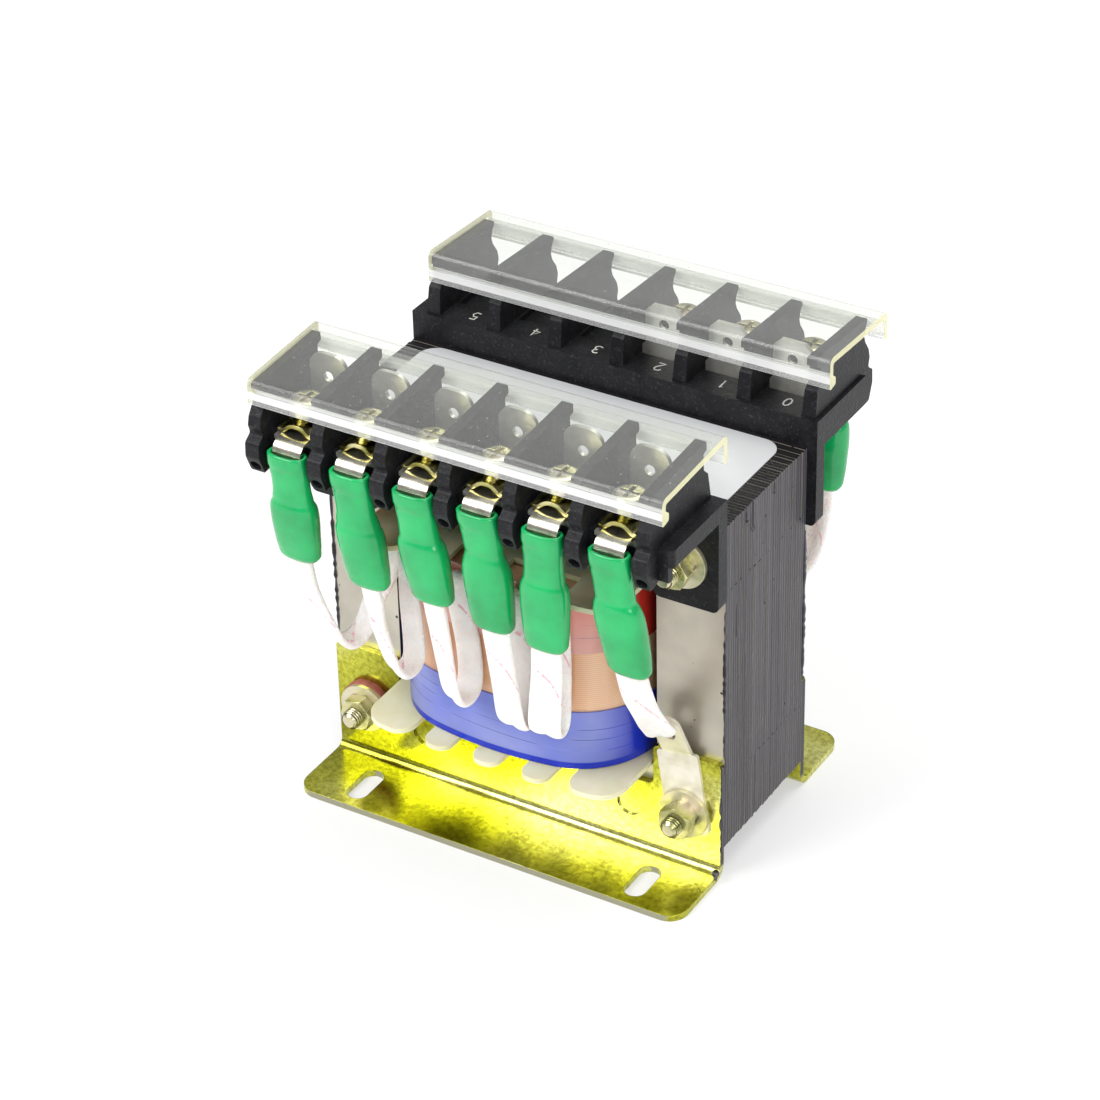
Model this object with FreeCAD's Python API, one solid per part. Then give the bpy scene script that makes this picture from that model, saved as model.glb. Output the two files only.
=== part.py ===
import FreeCAD, Part
import math
import os

# Step-down transformer on a punched sheet core, with two rows of screw terminals.
# Millimetres. X runs along the terminal rows, the front faces -Y, Z is up.
# The origin is under the middle of the core, on the surface that the feet stand on.
# "Out" is the distance from the middle plane of the core towards the front or the rear.

V = FreeCAD.Vector

# Core
core_width = 96.0
core_stack = 35.0
core_lift = 7.3
packet_count = 10
core_hole = 5.0

# Feet
foot_sheet = 1.5
foot_bend = 2.0
foot_reach = 20.0
foot_corner = 4.5
foot_middle_top = 19.0
foot_ear_above_hole = 14.0
foot_ear_inset = 0.2
foot_slot_width = 5.0
foot_slot_length = 11.0
foot_slot_x = 35.0
foot_slot_out = 12.0
dimple_diameter = 5.6
dimple_depth = 0.5
dimple_x = 25.8
dimple_drop = 3.6

# Bolts through the core corners
bolt_diameter = 3.9
low_bolt_length = 47.5
high_bolt_length = 51.5
high_bolt_drop = 0.5
bolt_clearance = 0.25
head_diameter = 8.0
head_height = 2.6
bolt_recess_depth = 1.4
recess_reach = 2.2
recess_width = 0.9
nut_across = 7.0
nut_height = 3.2
thread_gap = 0.05
washer_thickness = 1.0
washer_diameter = 11.5
spring_diameter = 7.0
spring_thickness = 1.1
spring_slit = 0.8
fibre_diameter = 12.0
fibre_thickness = 1.6

# Bobbin and windings
bobbin_gap = 0.4
bobbin_wall = 1.2
flange_thickness = 1.2
flange_end_gap = 0.2
flange_side_gap = 0.8
flange_out = 26.0
small_lobe_width = 6.5
small_lobe_pitch = 12.0
small_lobe_tip = 36.3
big_lobe_width = 11.8
big_lobe_inner_tip = 36.0
big_lobe_outer_tip = 34.6
big_lobe_inner_round = 4.0
big_lobe_outer_round = 6.0
coil_side_gap = 2.7
coil_half_y = 31.9
coil_bulge = 80.0
coil_corner = 18.0
coil_end_gap = 0.2
tape_thickness = 0.35
film_thickness = 0.25
secondary_depth = 4.6
interlayer_depth = 0.5
blue_tape_height = 14.4
red_tape_height = 15.7
red_double_height = 5.9
red_double_thickness = 0.25

# Terminal blocks
pole_count = 6
pole_pitch = 15.2
block_shift = -2.2
beam_below_core_top = 0.3
beam_height = 7.0
beam_reach = 22.3
barrier_foot = 3.3
barrier_top = 2.3
barrier_nose = 3.5
barrier_rise = 13.7
nose_end_drop = 9.1
nose_end_round = 1.6
nose_face_high = (26.9, -4.2)
nose_face_low = (24.9, -9.0)
block_end_left = 2.5
block_end_right = 1.5
block_ledge = 3.4
block_ledge_height = 3.9
block_ear_width = 15.0
block_ear_thickness = 3.5
block_ear_below_bolt = 10.2
block_ear_hole = 4.6
nose_dimple_radius = 1.3
nose_dimple_depth = 0.6
gusset_depth = 1.8
gusset_below_beam = 0.6
gusset_reach = 2.4
well_below_screw = 0.4

# Terminals
plate_thickness = 1.0
plate_width = 10.5
plate_start = 8.0
plate_pocket = 1.4
plate_gap = 0.15
plate_length = 14.0
plate_shoulder = 2.2
tab_width = 9.0
front_tab_height = 13.2
front_tab_round = 3.3
rear_tab_height = 12.3
rear_tab_clip = 1.8
tab_hole = 2.4
tab_hole_height = 8.0
screw_out = 17.0
screw_diameter = 3.4
screw_gap = 0.1
screw_depth = 5.0
screw_head_diameter = 7.6
screw_head_height = 3.4
screw_recess_depth = 1.5
saddle_width = 9.2
saddle_depth = 9.6
saddle_thickness = 0.9
saddle_rise = 1.6
saddle_foot = 1.2
saddle_slope = 2.0
screw_spring_diameter = 6.6
screw_spring_thickness = 1.2
ring_thickness = 0.8
ring_diameter = 8.5
ring_hole = 4.3
neck_width = 6.8
neck_bend = 2.2
neck_drop_out = 25.2
crimp_width = 8.4
crimp_depth = 3.8
crimp_wall = 0.6
crimp_below_sleeve_top = 14.5
crimp_length = 7.0

# Sleeves: drop from the top, width and depth of each section
sleeve_top_below_deck = 2.0
sleeve_drawn_drop = 28.0
sleeve_wall = 0.8
sleeve_lean_out = 2.6
sleeve_sections = ((0.0, 9.3, 5.0), (6.5, 9.0, 4.6), (13.5, 10.6, 6.0), (20.5, 10.6, 6.2),
                   (25.5, 9.4, 5.0))
sleeve_end_width = 8.6
sleeve_end_depth = 4.2

# Leads
lead_width = 6.8
lead_thickness = 1.3
lead_rest_gap = 0.25
lead_start_in_crimp = 2.5
lead_straight_below_sleeve = 5.0
lead_end_below_tape = 1.2

# Covers
cover_thickness = 1.5
cover_length = 96.5
cover_shift = 2.3
cover_gap = 0.2
cover_fall = 1.4
cover_inner = 0.25
cover_outer = 26.4
cover_hook_tip = 7.9
cover_hook_thickness = 1.4
cover_bead = 1.2
cover_bead_height = 2.2
cover_lip_depth = 6.4

# Earth tag
tag_thickness = 0.8
tag_width = 9.8
tag_strip_width = 7.0
tag_below = 5.3
tag_step = 14.8
tag_top = 26.0
tag_lean = 20.0
tag_turn = -8.0
tag_hole = 3.2
tag_hole_height = 20.6

# Name label
label_x = 43.4
label_y = 16.3
label_corner = 4.5
label_thickness = 0.2

# Sizes that follow from the core
half_width = core_width / 2
half_stack = core_stack / 2
leg = core_width / 6
core_height = leg * 5
core_top = core_lift + core_height
hole_inset = leg / 2
hole_x = half_width - hole_inset
hole_low = core_lift + hole_inset
hole_high = core_top - hole_inset
bolt_high = hole_high - high_bolt_drop
window_low = core_lift + leg
window_high = core_top - leg
bracket_face = half_stack + foot_sheet
ear_face = half_stack + block_ear_thickness
deck = core_top - beam_below_core_top + beam_height
plate_seat = deck - plate_pocket
flange_low = window_low + flange_end_gap + flange_thickness
flange_high = window_high - flange_end_gap - flange_thickness
coil_half_x = half_width - leg - coil_side_gap
coil_low = flange_low + coil_end_gap
coil_high = flange_high - coil_end_gap
screw_line = half_stack + screw_out
sleeve_line = half_stack + neck_drop_out
sleeve_top = deck - sleeve_top_below_deck
crimp_top = sleeve_top - crimp_below_sleeve_top
EVEN = 1e-7


def plan(z):
    """Place a flat drawing in a level plane."""
    return lambda a, b: V(a, b, z)


def front(y):
    """Place a flat drawing in a plane that faces the front."""
    return lambda a, b: V(a, y, b)


def side(x):
    """Place a drawing of distance out and height in a plane that faces the side."""
    return lambda a, b: V(x, -a, b)


def outline(corners, place):
    """Closed wire through corners (a, b, radius), each rounded by its own radius."""
    marks = []
    count = len(corners)
    for i in range(count):
        a, b, radius = corners[i]
        here = V(a, b, 0)
        back = V(corners[i - 1][0], corners[i - 1][1], 0) - here
        ahead = V(corners[(i + 1) % count][0], corners[(i + 1) % count][1], 0) - here
        back.normalize()
        ahead.normalize()
        if radius == 0:
            marks.append((here, None, here))
            continue
        half = back.getAngle(ahead) / 2
        middle = back + ahead
        middle.normalize()
        reach = radius / math.tan(half)
        crown = here + middle * (radius / math.sin(half) - radius)
        marks.append((here + back * reach, crown, here + ahead * reach))
    edges = []
    for i in range(count):
        begin, crown, end = marks[i]
        following = marks[(i + 1) % count][0]
        if crown is not None:
            edges.append(Part.Arc(place(begin.x, begin.y), place(crown.x, crown.y),
                                  place(end.x, end.y)).toShape())
        if end.distanceToPoint(following) > EVEN:
            edges.append(Part.LineSegment(place(end.x, end.y),
                                          place(following.x, following.y)).toShape())
    return Part.Wire(edges)


def across(corners, x_low, x_high):
    """Prism of a side drawing from one x to another."""
    return Part.Face(outline(corners, side(x_low))).extrude(V(x_high - x_low, 0, 0))


def upright(corners, z_low, z_high):
    """Prism of a level drawing from one height to another."""
    return Part.Face(outline(corners, plan(z_low))).extrude(V(0, 0, z_high - z_low))


def outward(corners, out_low, out_high):
    """Prism of a front drawing from one distance out to another, on the front side."""
    return Part.Face(outline(corners, front(-out_low))).extrude(V(0, out_low - out_high, 0))


def rectangle(a_low, a_high, b_low, b_high, radius):
    """Corners of a rectangle with one corner radius."""
    return [(a_low, b_low, radius), (a_high, b_low, radius),
            (a_high, b_high, radius), (a_low, b_high, radius)]


def to_front(shape, x, y, z):
    """Turn a piece made along +Z so that it points to -Y, and put its foot at x, y, z."""
    shape.rotate(V(0, 0, 0), V(1, 0, 0), 90)
    shape.translate(V(x, y, z))
    return shape


def to_rear(shape):
    """The same piece on the rear side: half a turn about the upright axis."""
    turned_piece = shape.copy()
    turned_piece.rotate(V(0, 0, 0), V(0, 0, 1), 180)
    return turned_piece


def turned(corners):
    """Body of revolution about Z from corners (radius, height, rounding)."""
    return Part.Face(outline(corners, front(0))).revolve(V(0, 0, 0), V(0, 0, 1), 360)


def ring(outer, inner, height):
    """Flat ring from z 0."""
    return Part.makeCylinder(outer / 2, height).cut(Part.makeCylinder(inner / 2, height))


def split_ring(outer, inner, height, slit):
    """Spring washer: a flat ring with a slanting slit."""
    cutter = Part.makeBox(outer, slit, height * 4, V(0, -slit / 2, -height * 2))
    cutter.rotate(V(0, 0, 0), V(1, 0, 0), 25)
    cutter.translate(V(0, 0, height / 2))
    return ring(outer, inner, height).cut(cutter)


def cross_recess(reach, width, depth):
    """Cross-shaped prism for a driver, downwards from z 0."""
    r = width / 2
    corners = [(r, r), (reach, r), (reach, -r), (r, -r), (r, -reach), (-r, -reach),
               (-r, -r), (-reach, -r), (-reach, r), (-r, r), (-r, reach), (r, reach)]
    drawing = [(a, b, 0) for a, b in corners]
    return Part.Face(outline(drawing, plan(0))).extrude(V(0, 0, -depth))


def save(name, shapes):
    """Write one named piece, or a group of separate pieces."""
    shape = shapes[0] if len(shapes) == 1 else Part.Compound(shapes)
    shape.exportStep("parts/" + name + ".step")
    volume = sum(piece.Volume for piece in shapes)
    valid = all(piece.isValid() for piece in shapes)
    print(name, len(shapes), round(volume, 1), valid)


# Core: packets of E sheets with their yoke at the bottom and at the top by turns
def core_packet(y, thickness, yoke_low):
    """One packet: the E piece and the I piece that closes it."""
    tall = core_height - leg
    e_corners = [(-half_width, 0, 0), (half_width, 0, 0), (half_width, tall, 0),
                 (half_width - leg, tall, 0), (half_width - leg, leg, 0), (leg, leg, 0),
                 (leg, tall, 0), (-leg, tall, 0), (-leg, leg, 0),
                 (leg - half_width, leg, 0), (leg - half_width, tall, 0),
                 (-half_width, tall, 0)]
    i_corners = rectangle(-half_width, half_width, tall, core_height, 0)
    made = []
    for corners, hole_up in ((e_corners, hole_inset), (i_corners, core_height - hole_inset)):
        piece = Part.Face(outline(corners, front(0))).extrude(V(0, thickness, 0))
        for x in (-hole_x, hole_x):
            piece = piece.cut(Part.makeCylinder(core_hole / 2, thickness * 2,
                                                V(x, -thickness / 2, hole_up), V(0, 1, 0)))
        if not yoke_low:
            piece.rotate(V(0, 0, core_height / 2), V(0, 1, 0), 180)
        piece.translate(V(0, y, core_lift))
        made.append(piece)
    return made


packet = core_stack / packet_count
e_pieces = []
i_pieces = []
for index in range(packet_count):
    e_piece, i_piece = core_packet(index * packet - half_stack, packet, index % 2 == 0)
    e_pieces.append(e_piece)
    i_pieces.append(i_piece)
save("core_e_laminations", e_pieces)
save("core_i_laminations", i_pieces)

# Bobbin: square tube with two lobed flanges
tube_in_x = leg + bobbin_gap
tube_in_y = half_stack + bobbin_gap
tube_x = tube_in_x + bobbin_wall
tube_y = tube_in_y + bobbin_wall
flange_x = half_width - leg - flange_side_gap


def flange_plate(z_low):
    """One flange with big corner lobes and three small lobes on both long sides."""
    plate = upright(rectangle(-flange_x, flange_x, -flange_out, flange_out, 4.0),
                    z_low, z_low + flange_thickness)
    half = small_lobe_width / 2
    lobes = []
    for step in (-1, 0, 1):
        x = step * small_lobe_pitch
        lobes.append(upright(rectangle(x - half, x + half, -small_lobe_tip, small_lobe_tip,
                                       half - 0.4), z_low, z_low + flange_thickness))
    inner = flange_x - big_lobe_width
    for way in (-1, 1):
        for face in (-1, 1):
            lobes.append(upright([
                (way * inner, 0, 0),
                (way * inner, face * big_lobe_inner_tip, big_lobe_inner_round),
                (way * flange_x, face * big_lobe_outer_tip, big_lobe_outer_round),
                (way * flange_x, 0, 0)], z_low, z_low + flange_thickness))
    return plate.multiFuse(lobes).removeSplitter()


low_start = window_low + flange_end_gap
tube_high = window_high - flange_end_gap
bobbin = flange_plate(low_start).multiFuse([
    flange_plate(tube_high - flange_thickness),
    upright(rectangle(-tube_x, tube_x, -tube_y, tube_y, 1.5), low_start, tube_high)])
bobbin = bobbin.cut(upright(rectangle(-tube_in_x, tube_in_x, -tube_in_y, tube_in_y, 0.3),
                            low_start - 1, tube_high + 1)).removeSplitter()
save("bobbin", [bobbin])


# Windings: rounded barrel plan, every layer an even offset of the outermost one
def coil_wire(depth, z):
    """Plan of the wound coil at a depth under the outermost face."""
    corner_x = coil_half_x - coil_corner
    span = coil_bulge - coil_corner
    bulge_y = coil_half_y - coil_bulge
    corner_y = bulge_y + math.sqrt(span * span - corner_x * corner_x)
    big = coil_bulge - depth
    small = coil_corner - depth
    touch = V(corner_x, corner_y - bulge_y, 0)
    touch.normalize()
    x_side = coil_half_x - depth
    knee = V(touch.x * big, bulge_y + touch.y * big, z)
    half_turn = math.atan2(touch.y, touch.x) / 2
    mid = V(corner_x + small * math.cos(half_turn), corner_y + small * math.sin(half_turn), z)
    quarter = [(V(x_side, 0, z), V(x_side, corner_y, z)),
               (V(x_side, corner_y, z), mid, knee)]
    edges = []
    for sx, sy in ((1, 1), (-1, 1), (-1, -1), (1, -1)):
        points = [[V(p.x * sx, p.y * sy, z) for p in part] for part in quarter]
        pieces = [Part.LineSegment(points[0][0], points[0][1]).toShape(),
                  Part.Arc(points[1][0], points[1][1], points[1][2]).toShape()]
        edges.extend(pieces)
    top = bulge_y + big
    for sy in (1, -1):
        edges.append(Part.Arc(V(knee.x, knee.y * sy, z), V(0, top * sy, z),
                              V(-knee.x, knee.y * sy, z)).toShape())
    return Part.Wire(Part.__sortEdges__(edges))


def coil_surface(x, depth):
    """Distance out of the coil face at a given x."""
    corner_x = coil_half_x - coil_corner
    span = coil_bulge - coil_corner
    bulge_y = coil_half_y - coil_bulge
    corner_y = bulge_y + math.sqrt(span * span - corner_x * corner_x)
    knee_x = corner_x / span * (coil_bulge - depth)
    if abs(x) <= knee_x:
        return bulge_y + math.sqrt((coil_bulge - depth) ** 2 - x * x)
    small = coil_corner - depth
    return corner_y + math.sqrt(small * small - (abs(x) - corner_x) ** 2)


def layer(depth_out, depth_in, z_low, z_high):
    """Ring between two depths under the outermost face."""
    height = V(0, 0, z_high - z_low)
    outer = Part.Face(coil_wire(depth_out, z_low)).extrude(height)
    return outer.cut(Part.Face(coil_wire(depth_in, z_low)).extrude(height))


film_depth = tape_thickness
secondary_out = film_depth + film_thickness
secondary_in = secondary_out + secondary_depth
primary_out = secondary_in + interlayer_depth
primary = Part.Face(coil_wire(primary_out, coil_low)).extrude(V(0, 0, coil_high - coil_low))
primary = primary.cut(upright(rectangle(-tube_x, tube_x, -tube_y, tube_y, 1.5),
                              coil_low, coil_high))
save("primary_winding", [primary])
save("interlayer_insulation", [layer(secondary_in, primary_out, coil_low, coil_high)])
save("secondary_winding", [layer(secondary_out, secondary_in, coil_low, coil_high)])
save("outer_wrap_film", [layer(film_depth, secondary_out, coil_low, coil_high)])
save("blue_tape", [layer(0, film_depth, coil_low, coil_low + blue_tape_height)])
red_tape = layer(0, film_depth, coil_high - red_tape_height, coil_high)
red_tape = red_tape.fuse(layer(-red_double_thickness, 0, coil_high - red_double_height,
                               coil_high)).removeSplitter()
save("red_tape", [red_tape])

# Feet: bent sheet angles with two ears, slots and pressed dimples
foot_ear_top = hole_low + foot_ear_above_hole
foot_ear_x = half_width - leg - foot_ear_inset
foot_tip = half_stack + foot_reach
angle_drawing = [(half_stack, foot_ear_top, 0), (half_stack, 0, foot_bend + foot_sheet),
                 (foot_tip, 0, 0), (foot_tip, foot_sheet, 0),
                 (bracket_face, foot_sheet, foot_bend), (bracket_face, foot_ear_top, 0)]
bracket = across(angle_drawing, -half_width, half_width)
bracket = bracket.common(outward([
    (-half_width, 0, 0), (half_width, 0, 0), (half_width, foot_ear_top, 1.2),
    (foot_ear_x, foot_ear_top, 1.2), (foot_ear_x, foot_middle_top, 1.5),
    (-foot_ear_x, foot_middle_top, 1.5), (-foot_ear_x, foot_ear_top, 1.2),
    (-half_width, foot_ear_top, 1.2)], half_stack - 1, foot_tip + 1))
bracket = bracket.common(upright([
    (-half_width, -half_stack, 0), (-half_width, -foot_tip, foot_corner),
    (half_width, -foot_tip, foot_corner), (half_width, -half_stack, 0)],
    -1, foot_ear_top + 1))
bolt_hole = bolt_diameter + 2 * bolt_clearance
slot_half = foot_slot_length / 2
slot_middle = half_stack + foot_slot_out
for way in (-1, 1):
    bracket = bracket.cut(Part.makeCylinder(bolt_hole / 2, foot_sheet * 4,
                                            V(way * hole_x, -half_stack + 1, hole_low),
                                            V(0, -1, 0)))
    slot = upright(rectangle(way * foot_slot_x - foot_slot_width / 2,
                             way * foot_slot_x + foot_slot_width / 2,
                             -slot_middle - slot_half, -slot_middle + slot_half,
                             foot_slot_width / 2 - 0.01), -1, foot_sheet + 1)
    bracket = bracket.cut(slot)
    bracket = bracket.cut(Part.makeCylinder(dimple_diameter / 2, foot_sheet,
                                            V(way * dimple_x, dimple_depth - bracket_face,
                                              hole_low - dimple_drop), V(0, -1, 0)))
save("front_bracket", [bracket])
save("rear_bracket", [to_rear(bracket)])

# Bolts, washers and nuts at the four corners of the core
corners_of_core = [(-hole_x, hole_low), (hole_x, hole_low), (-hole_x, bolt_high),
                   (hole_x, bolt_high)]
washer_hole = bolt_diameter + 2 * bolt_clearance


def core_bolt(length):
    """Pan head bolt along +Z from the underside of its head."""
    r = bolt_diameter / 2
    head = head_diameter / 2
    body = turned([(0, -head_height, 0), (head, -head_height, 1.6), (head, 0, 0),
                   (r, 0, 0), (r, length - 0.6, 0), (r - 0.6, length, 0),
                   (0, length, 0)])
    recess = cross_recess(recess_reach, recess_width, bolt_recess_depth)
    recess.rotate(V(0, 0, 0), V(1, 0, 0), 180)
    recess.rotate(V(0, 0, 0), V(0, 0, 1), 30)
    recess.translate(V(0, 0, -head_height))
    return body.cut(recess)


def core_nut():
    """Hexagon nut with both rims turned down."""
    reach = nut_across / math.sqrt(3)
    hexagon = [(reach * math.cos(math.radians(60 * k)),
                reach * math.sin(math.radians(60 * k)), 0) for k in range(6)]
    hole = bolt_diameter / 2 + thread_gap
    limit = turned([(hole, 0, 0), (nut_across / 2, 0, 0), (reach, 0.35, 0),
                    (reach, nut_height - 0.35, 0), (nut_across / 2, nut_height, 0),
                    (hole, nut_height, 0)])
    return upright(hexagon, 0, nut_height).common(limit)


bolts = []
nuts = []
washers = []
springs = []
fibre = None
for x, z in corners_of_core:
    low = z < core_lift + core_height / 2
    seat = bracket_face if low else ear_face
    length = low_bolt_length if low else high_bolt_length
    washers.append(to_front(ring(washer_diameter, washer_hole, washer_thickness), x,
                            seat + washer_thickness, z))
    bolts.append(to_front(core_bolt(length), x, seat + washer_thickness, z))
    out = seat
    if low and x < 0:
        fibre = to_front(ring(fibre_diameter, washer_hole, fibre_thickness), x, -out, z)
        out += fibre_thickness
    if low and x > 0:
        out += tag_thickness
    washers.append(to_front(ring(washer_diameter, washer_hole, washer_thickness), x, -out, z))
    out += washer_thickness
    if not (low and x < 0):
        springs.append(to_front(split_ring(spring_diameter, washer_hole, spring_thickness,
                                           spring_slit), x, -out, z))
        out += spring_thickness
    nut = core_nut()
    nut.rotate(V(0, 0, 0), V(0, 0, 1), 12 + 17 * len(nuts))
    nuts.append(to_front(nut, x, -out, z))
save("core_bolts", bolts)
save("bolt_nuts", nuts)
save("flat_washers", washers)
save("spring_washers", springs)
save("fibre_washer", [fibre])

# Earth tag: stepped strip, clamped under the lower right nut, its upper end bent out
lean = math.tan(math.radians(tag_lean))
tag_out = (tag_top - tag_step) * lean
thick_out = tag_thickness / math.cos(math.radians(tag_lean))
tag = across([(bracket_face, -tag_below, 0), (bracket_face + tag_thickness, -tag_below, 0),
              (bracket_face + tag_thickness, tag_step, 2.0),
              (bracket_face + thick_out + tag_out, tag_top, 0),
              (bracket_face + tag_out, tag_top, 0), (bracket_face, tag_step, 2.0)],
             -tag_width, tag_width)
half = tag_width / 2
strip = tag_strip_width / 2
tag = tag.common(outward([
    (-half, -tag_below, 1.0), (half, -tag_below, 1.0), (half, tag_step, 0.8),
    (strip, tag_step, 0), (strip, tag_top, 2.4), (-strip, tag_top, 2.4),
    (-strip, tag_step, 0), (-half, tag_step, 0.8)], bracket_face - 1, bracket_face + 20))
tag = tag.cut(Part.makeCylinder(washer_hole / 2, 10, V(0, -bracket_face + 5, 0), V(0, -1, 0)))
tag = tag.cut(Part.makeCylinder(tag_hole / 2, 20, V(0, -bracket_face + 5, tag_hole_height),
                                V(0, -1, 0)))
tag.rotate(V(0, 0, 0), V(0, 1, 0), tag_turn)
tag.translate(V(hole_x, 0, hole_low))
save("earth_tag", [tag])

# Terminal block: beam, ears, seven barriers with a nose at the front
barrier_line = [block_shift + (k - pole_count / 2) * pole_pitch for k in range(pole_count + 1)]
pole_line = [(barrier_line[k] + barrier_line[k + 1]) / 2 for k in range(pole_count)]
beam_left = barrier_line[0] - block_end_left
beam_right = barrier_line[-1] + block_end_right
beam_front = half_stack + beam_reach
beam_low = deck - beam_height
barrier_drawing = [
    (0.8, -5.0, 0), (0.8, 0.0, 0), (1.7, 6.0, 0.8), (3.3, 7.5, 0.6), (3.3, 11.1, 0),
    (1.9, 11.6, 0.3), (1.9, 13.6, 0.5), (24.7, 12.2, 0.6), (24.5, 11.3, 0.5),
    (23.5, 10.0, 0.4), (23.1, 8.4, 0.6), (23.5, 7.0, 0.6), (25.1, 4.5, 0.8),
    (25.5, 2.5, 0.6), (24.8, 0.4, 0.8), (26.8, -1.0, 1.1),
    nose_face_high + (1.6,), nose_face_low + (0.9,), (22.3, -7.4, 0.6), (20.0, -5.0, 0)]


def barrier(x):
    """One barrier, thinner towards its top, its nose thicker and round at the lower end."""
    drawing = [(half_stack + a, deck + b, r) for a, b, r in barrier_drawing]
    body = across(drawing, x - barrier_foot, x + barrier_foot)
    end = deck - nose_end_drop
    taper = [(x - barrier_nose / 2, end, nose_end_round),
             (x + barrier_nose / 2, end, nose_end_round),
             (x + barrier_foot / 2, deck, 0), (x + barrier_top / 2, deck + barrier_rise, 0),
             (x - barrier_top / 2, deck + barrier_rise, 0), (x - barrier_foot / 2, deck, 0)]
    return body.common(outward(taper, half_stack - 1, beam_front + 12))


beam = across([(half_stack, beam_low, 0), (beam_front, beam_low, 0.8),
               (beam_front, deck, 0.5), (half_stack, deck, 0)], beam_left, beam_right)
ledge_x = beam_right + block_ledge
ledge = upright([(beam_right - 1, -half_stack, 0), (beam_right - 1, -beam_front, 0),
                 (ledge_x, -beam_front, 1.5), (ledge_x, -half_stack, 0)],
                deck - block_ledge_height, deck)
gusset_back = beam_front - gusset_depth
gusset_low = beam_low - gusset_below_beam
gusset = across([(gusset_back, gusset_low, 0.5), (beam_front, gusset_low, 0.5),
                 (beam_front, deck - 1, 0), (gusset_back, deck - 1, 0)],
                beam_right - 1, beam_right + gusset_reach)
ear_low = bolt_high - block_ear_below_bolt
ear_right = ledge_x - block_ear_width
ear_left = -ear_right
ears = [outward(rectangle(beam_left, ear_left, ear_low, deck - 1, 1.5), half_stack, ear_face),
        outward(rectangle(ear_right, ledge_x, ear_low, deck, 1.5), half_stack, ear_face)]
block = beam.multiFuse([ledge, gusset] + ears + [barrier(x) for x in barrier_line])
block = block.removeSplitter()
cutters = []
for x in (-hole_x, hole_x):
    cutters.append(Part.makeCylinder(block_ear_hole / 2, block_ear_thickness * 3,
                                     V(x, -half_stack + 1, bolt_high), V(0, -1, 0)))
well = screw_diameter / 2 + screw_gap
pocket_half = plate_width / 2 + plate_gap
pocket_in = half_stack + plate_start - plate_gap
for x in pole_line:
    cutters.append(across([(pocket_in, plate_seat, 0), (beam_front + 1, plate_seat, 0),
                           (beam_front + 1, deck + 1, 0), (pocket_in, deck + 1, 0)],
                          x - pocket_half, x + pocket_half))
    cutters.append(Part.makeCylinder(well, screw_depth + well_below_screw,
                                     V(x, -screw_line, deck - screw_depth - well_below_screw)))
face_high = V(0, -half_stack - nose_face_high[0], deck + nose_face_high[1])
face_low = V(0, -half_stack - nose_face_low[0], deck + nose_face_low[1])
face_course = face_low - face_high
face_course.normalize()
face_normal = V(1, 0, 0).cross(face_course)
dimple_middle = (face_high + face_low) * 0.5 - face_normal * nose_dimple_depth
for x in barrier_line:
    cutters.append(Part.makeCylinder(nose_dimple_radius, nose_dimple_radius * 3,
                                     dimple_middle + V(x, 0, 0), face_normal))
block = block.cut(Part.Compound(cutters))
save("front_terminal_block", [block])
save("rear_terminal_block", [to_rear(block)])


# Terminals of one pole, made for the pole at x 0 on the front side
def terminal_plate(clipped):
    """Bent plate with an upright tab, its top corners rounded or clipped."""
    tab_height = rear_tab_height if clipped else front_tab_height
    start = half_stack + plate_start
    end = start + plate_length
    plate = across([(start, plate_seat, 1.5), (end, plate_seat, 0), (end, plate_seat + plate_thickness, 0),
                    (start + plate_thickness, plate_seat + plate_thickness, 0.5),
                    (start + plate_thickness, deck + tab_height, 0),
                    (start, deck + tab_height, 0)], -plate_width / 2, plate_width / 2)
    wide = plate_width / 2
    slim = tab_width / 2
    top = deck + tab_height
    if clipped:
        clip = rear_tab_clip
        crown = [(slim, top - clip, 0), (slim - clip, top, 0), (clip - slim, top, 0),
                 (-slim, top - clip, 0)]
    else:
        crown = [(slim, top, front_tab_round), (-slim, top, front_tab_round)]
    low = deck + plate_shoulder
    high = low + wide - slim
    drawing = [(-wide, plate_seat, 0), (wide, plate_seat, 0), (wide, low, 0), (slim, high, 0)]
    drawing += crown + [(-slim, high, 0), (-wide, low, 0)]
    plate = plate.common(outward(drawing, start - 1, end + 1))
    plate = plate.cut(Part.makeCylinder(tab_hole / 2, 6, V(0, 3 - start, deck + tab_hole_height),
                                        V(0, -1, 0)))
    return plate.cut(Part.makeCylinder(well, 4, V(0, -screw_line, plate_seat - 1)))


ring_low = plate_seat + plate_thickness
ring_high = ring_low + ring_thickness
saddle_high = ring_high + saddle_rise + saddle_thickness
spring_high = saddle_high + screw_spring_thickness


def terminal_screw():
    """Pan head screw with a cross recess, down into the block."""
    r = screw_diameter / 2
    head = screw_head_diameter / 2
    body = turned([(0, deck - screw_depth, 0), (r - 0.5, deck - screw_depth, 0),
                   (r, deck - screw_depth + 0.5, 0), (r, spring_high, 0),
                   (head, spring_high, 0), (head, spring_high + screw_head_height, 1.5),
                   (0, spring_high + screw_head_height, 0)])
    recess = cross_recess(recess_reach, recess_width, screw_recess_depth)
    recess.translate(V(0, 0, spring_high + screw_head_height))
    body = body.cut(recess)
    body.translate(V(0, -screw_line, 0))
    return body


def saddle_line(foot_x, crown_x, height, edge_bend, crown_bend):
    """Upper or lower line of the arched washer from left to right."""
    low = ring_high + height
    high = low + saddle_rise
    return [(-saddle_width / 2, low, 0), (-foot_x, low, edge_bend),
            (-crown_x, high, crown_bend), (crown_x, high, crown_bend),
            (foot_x, low, edge_bend), (saddle_width / 2, low, 0)]


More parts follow.
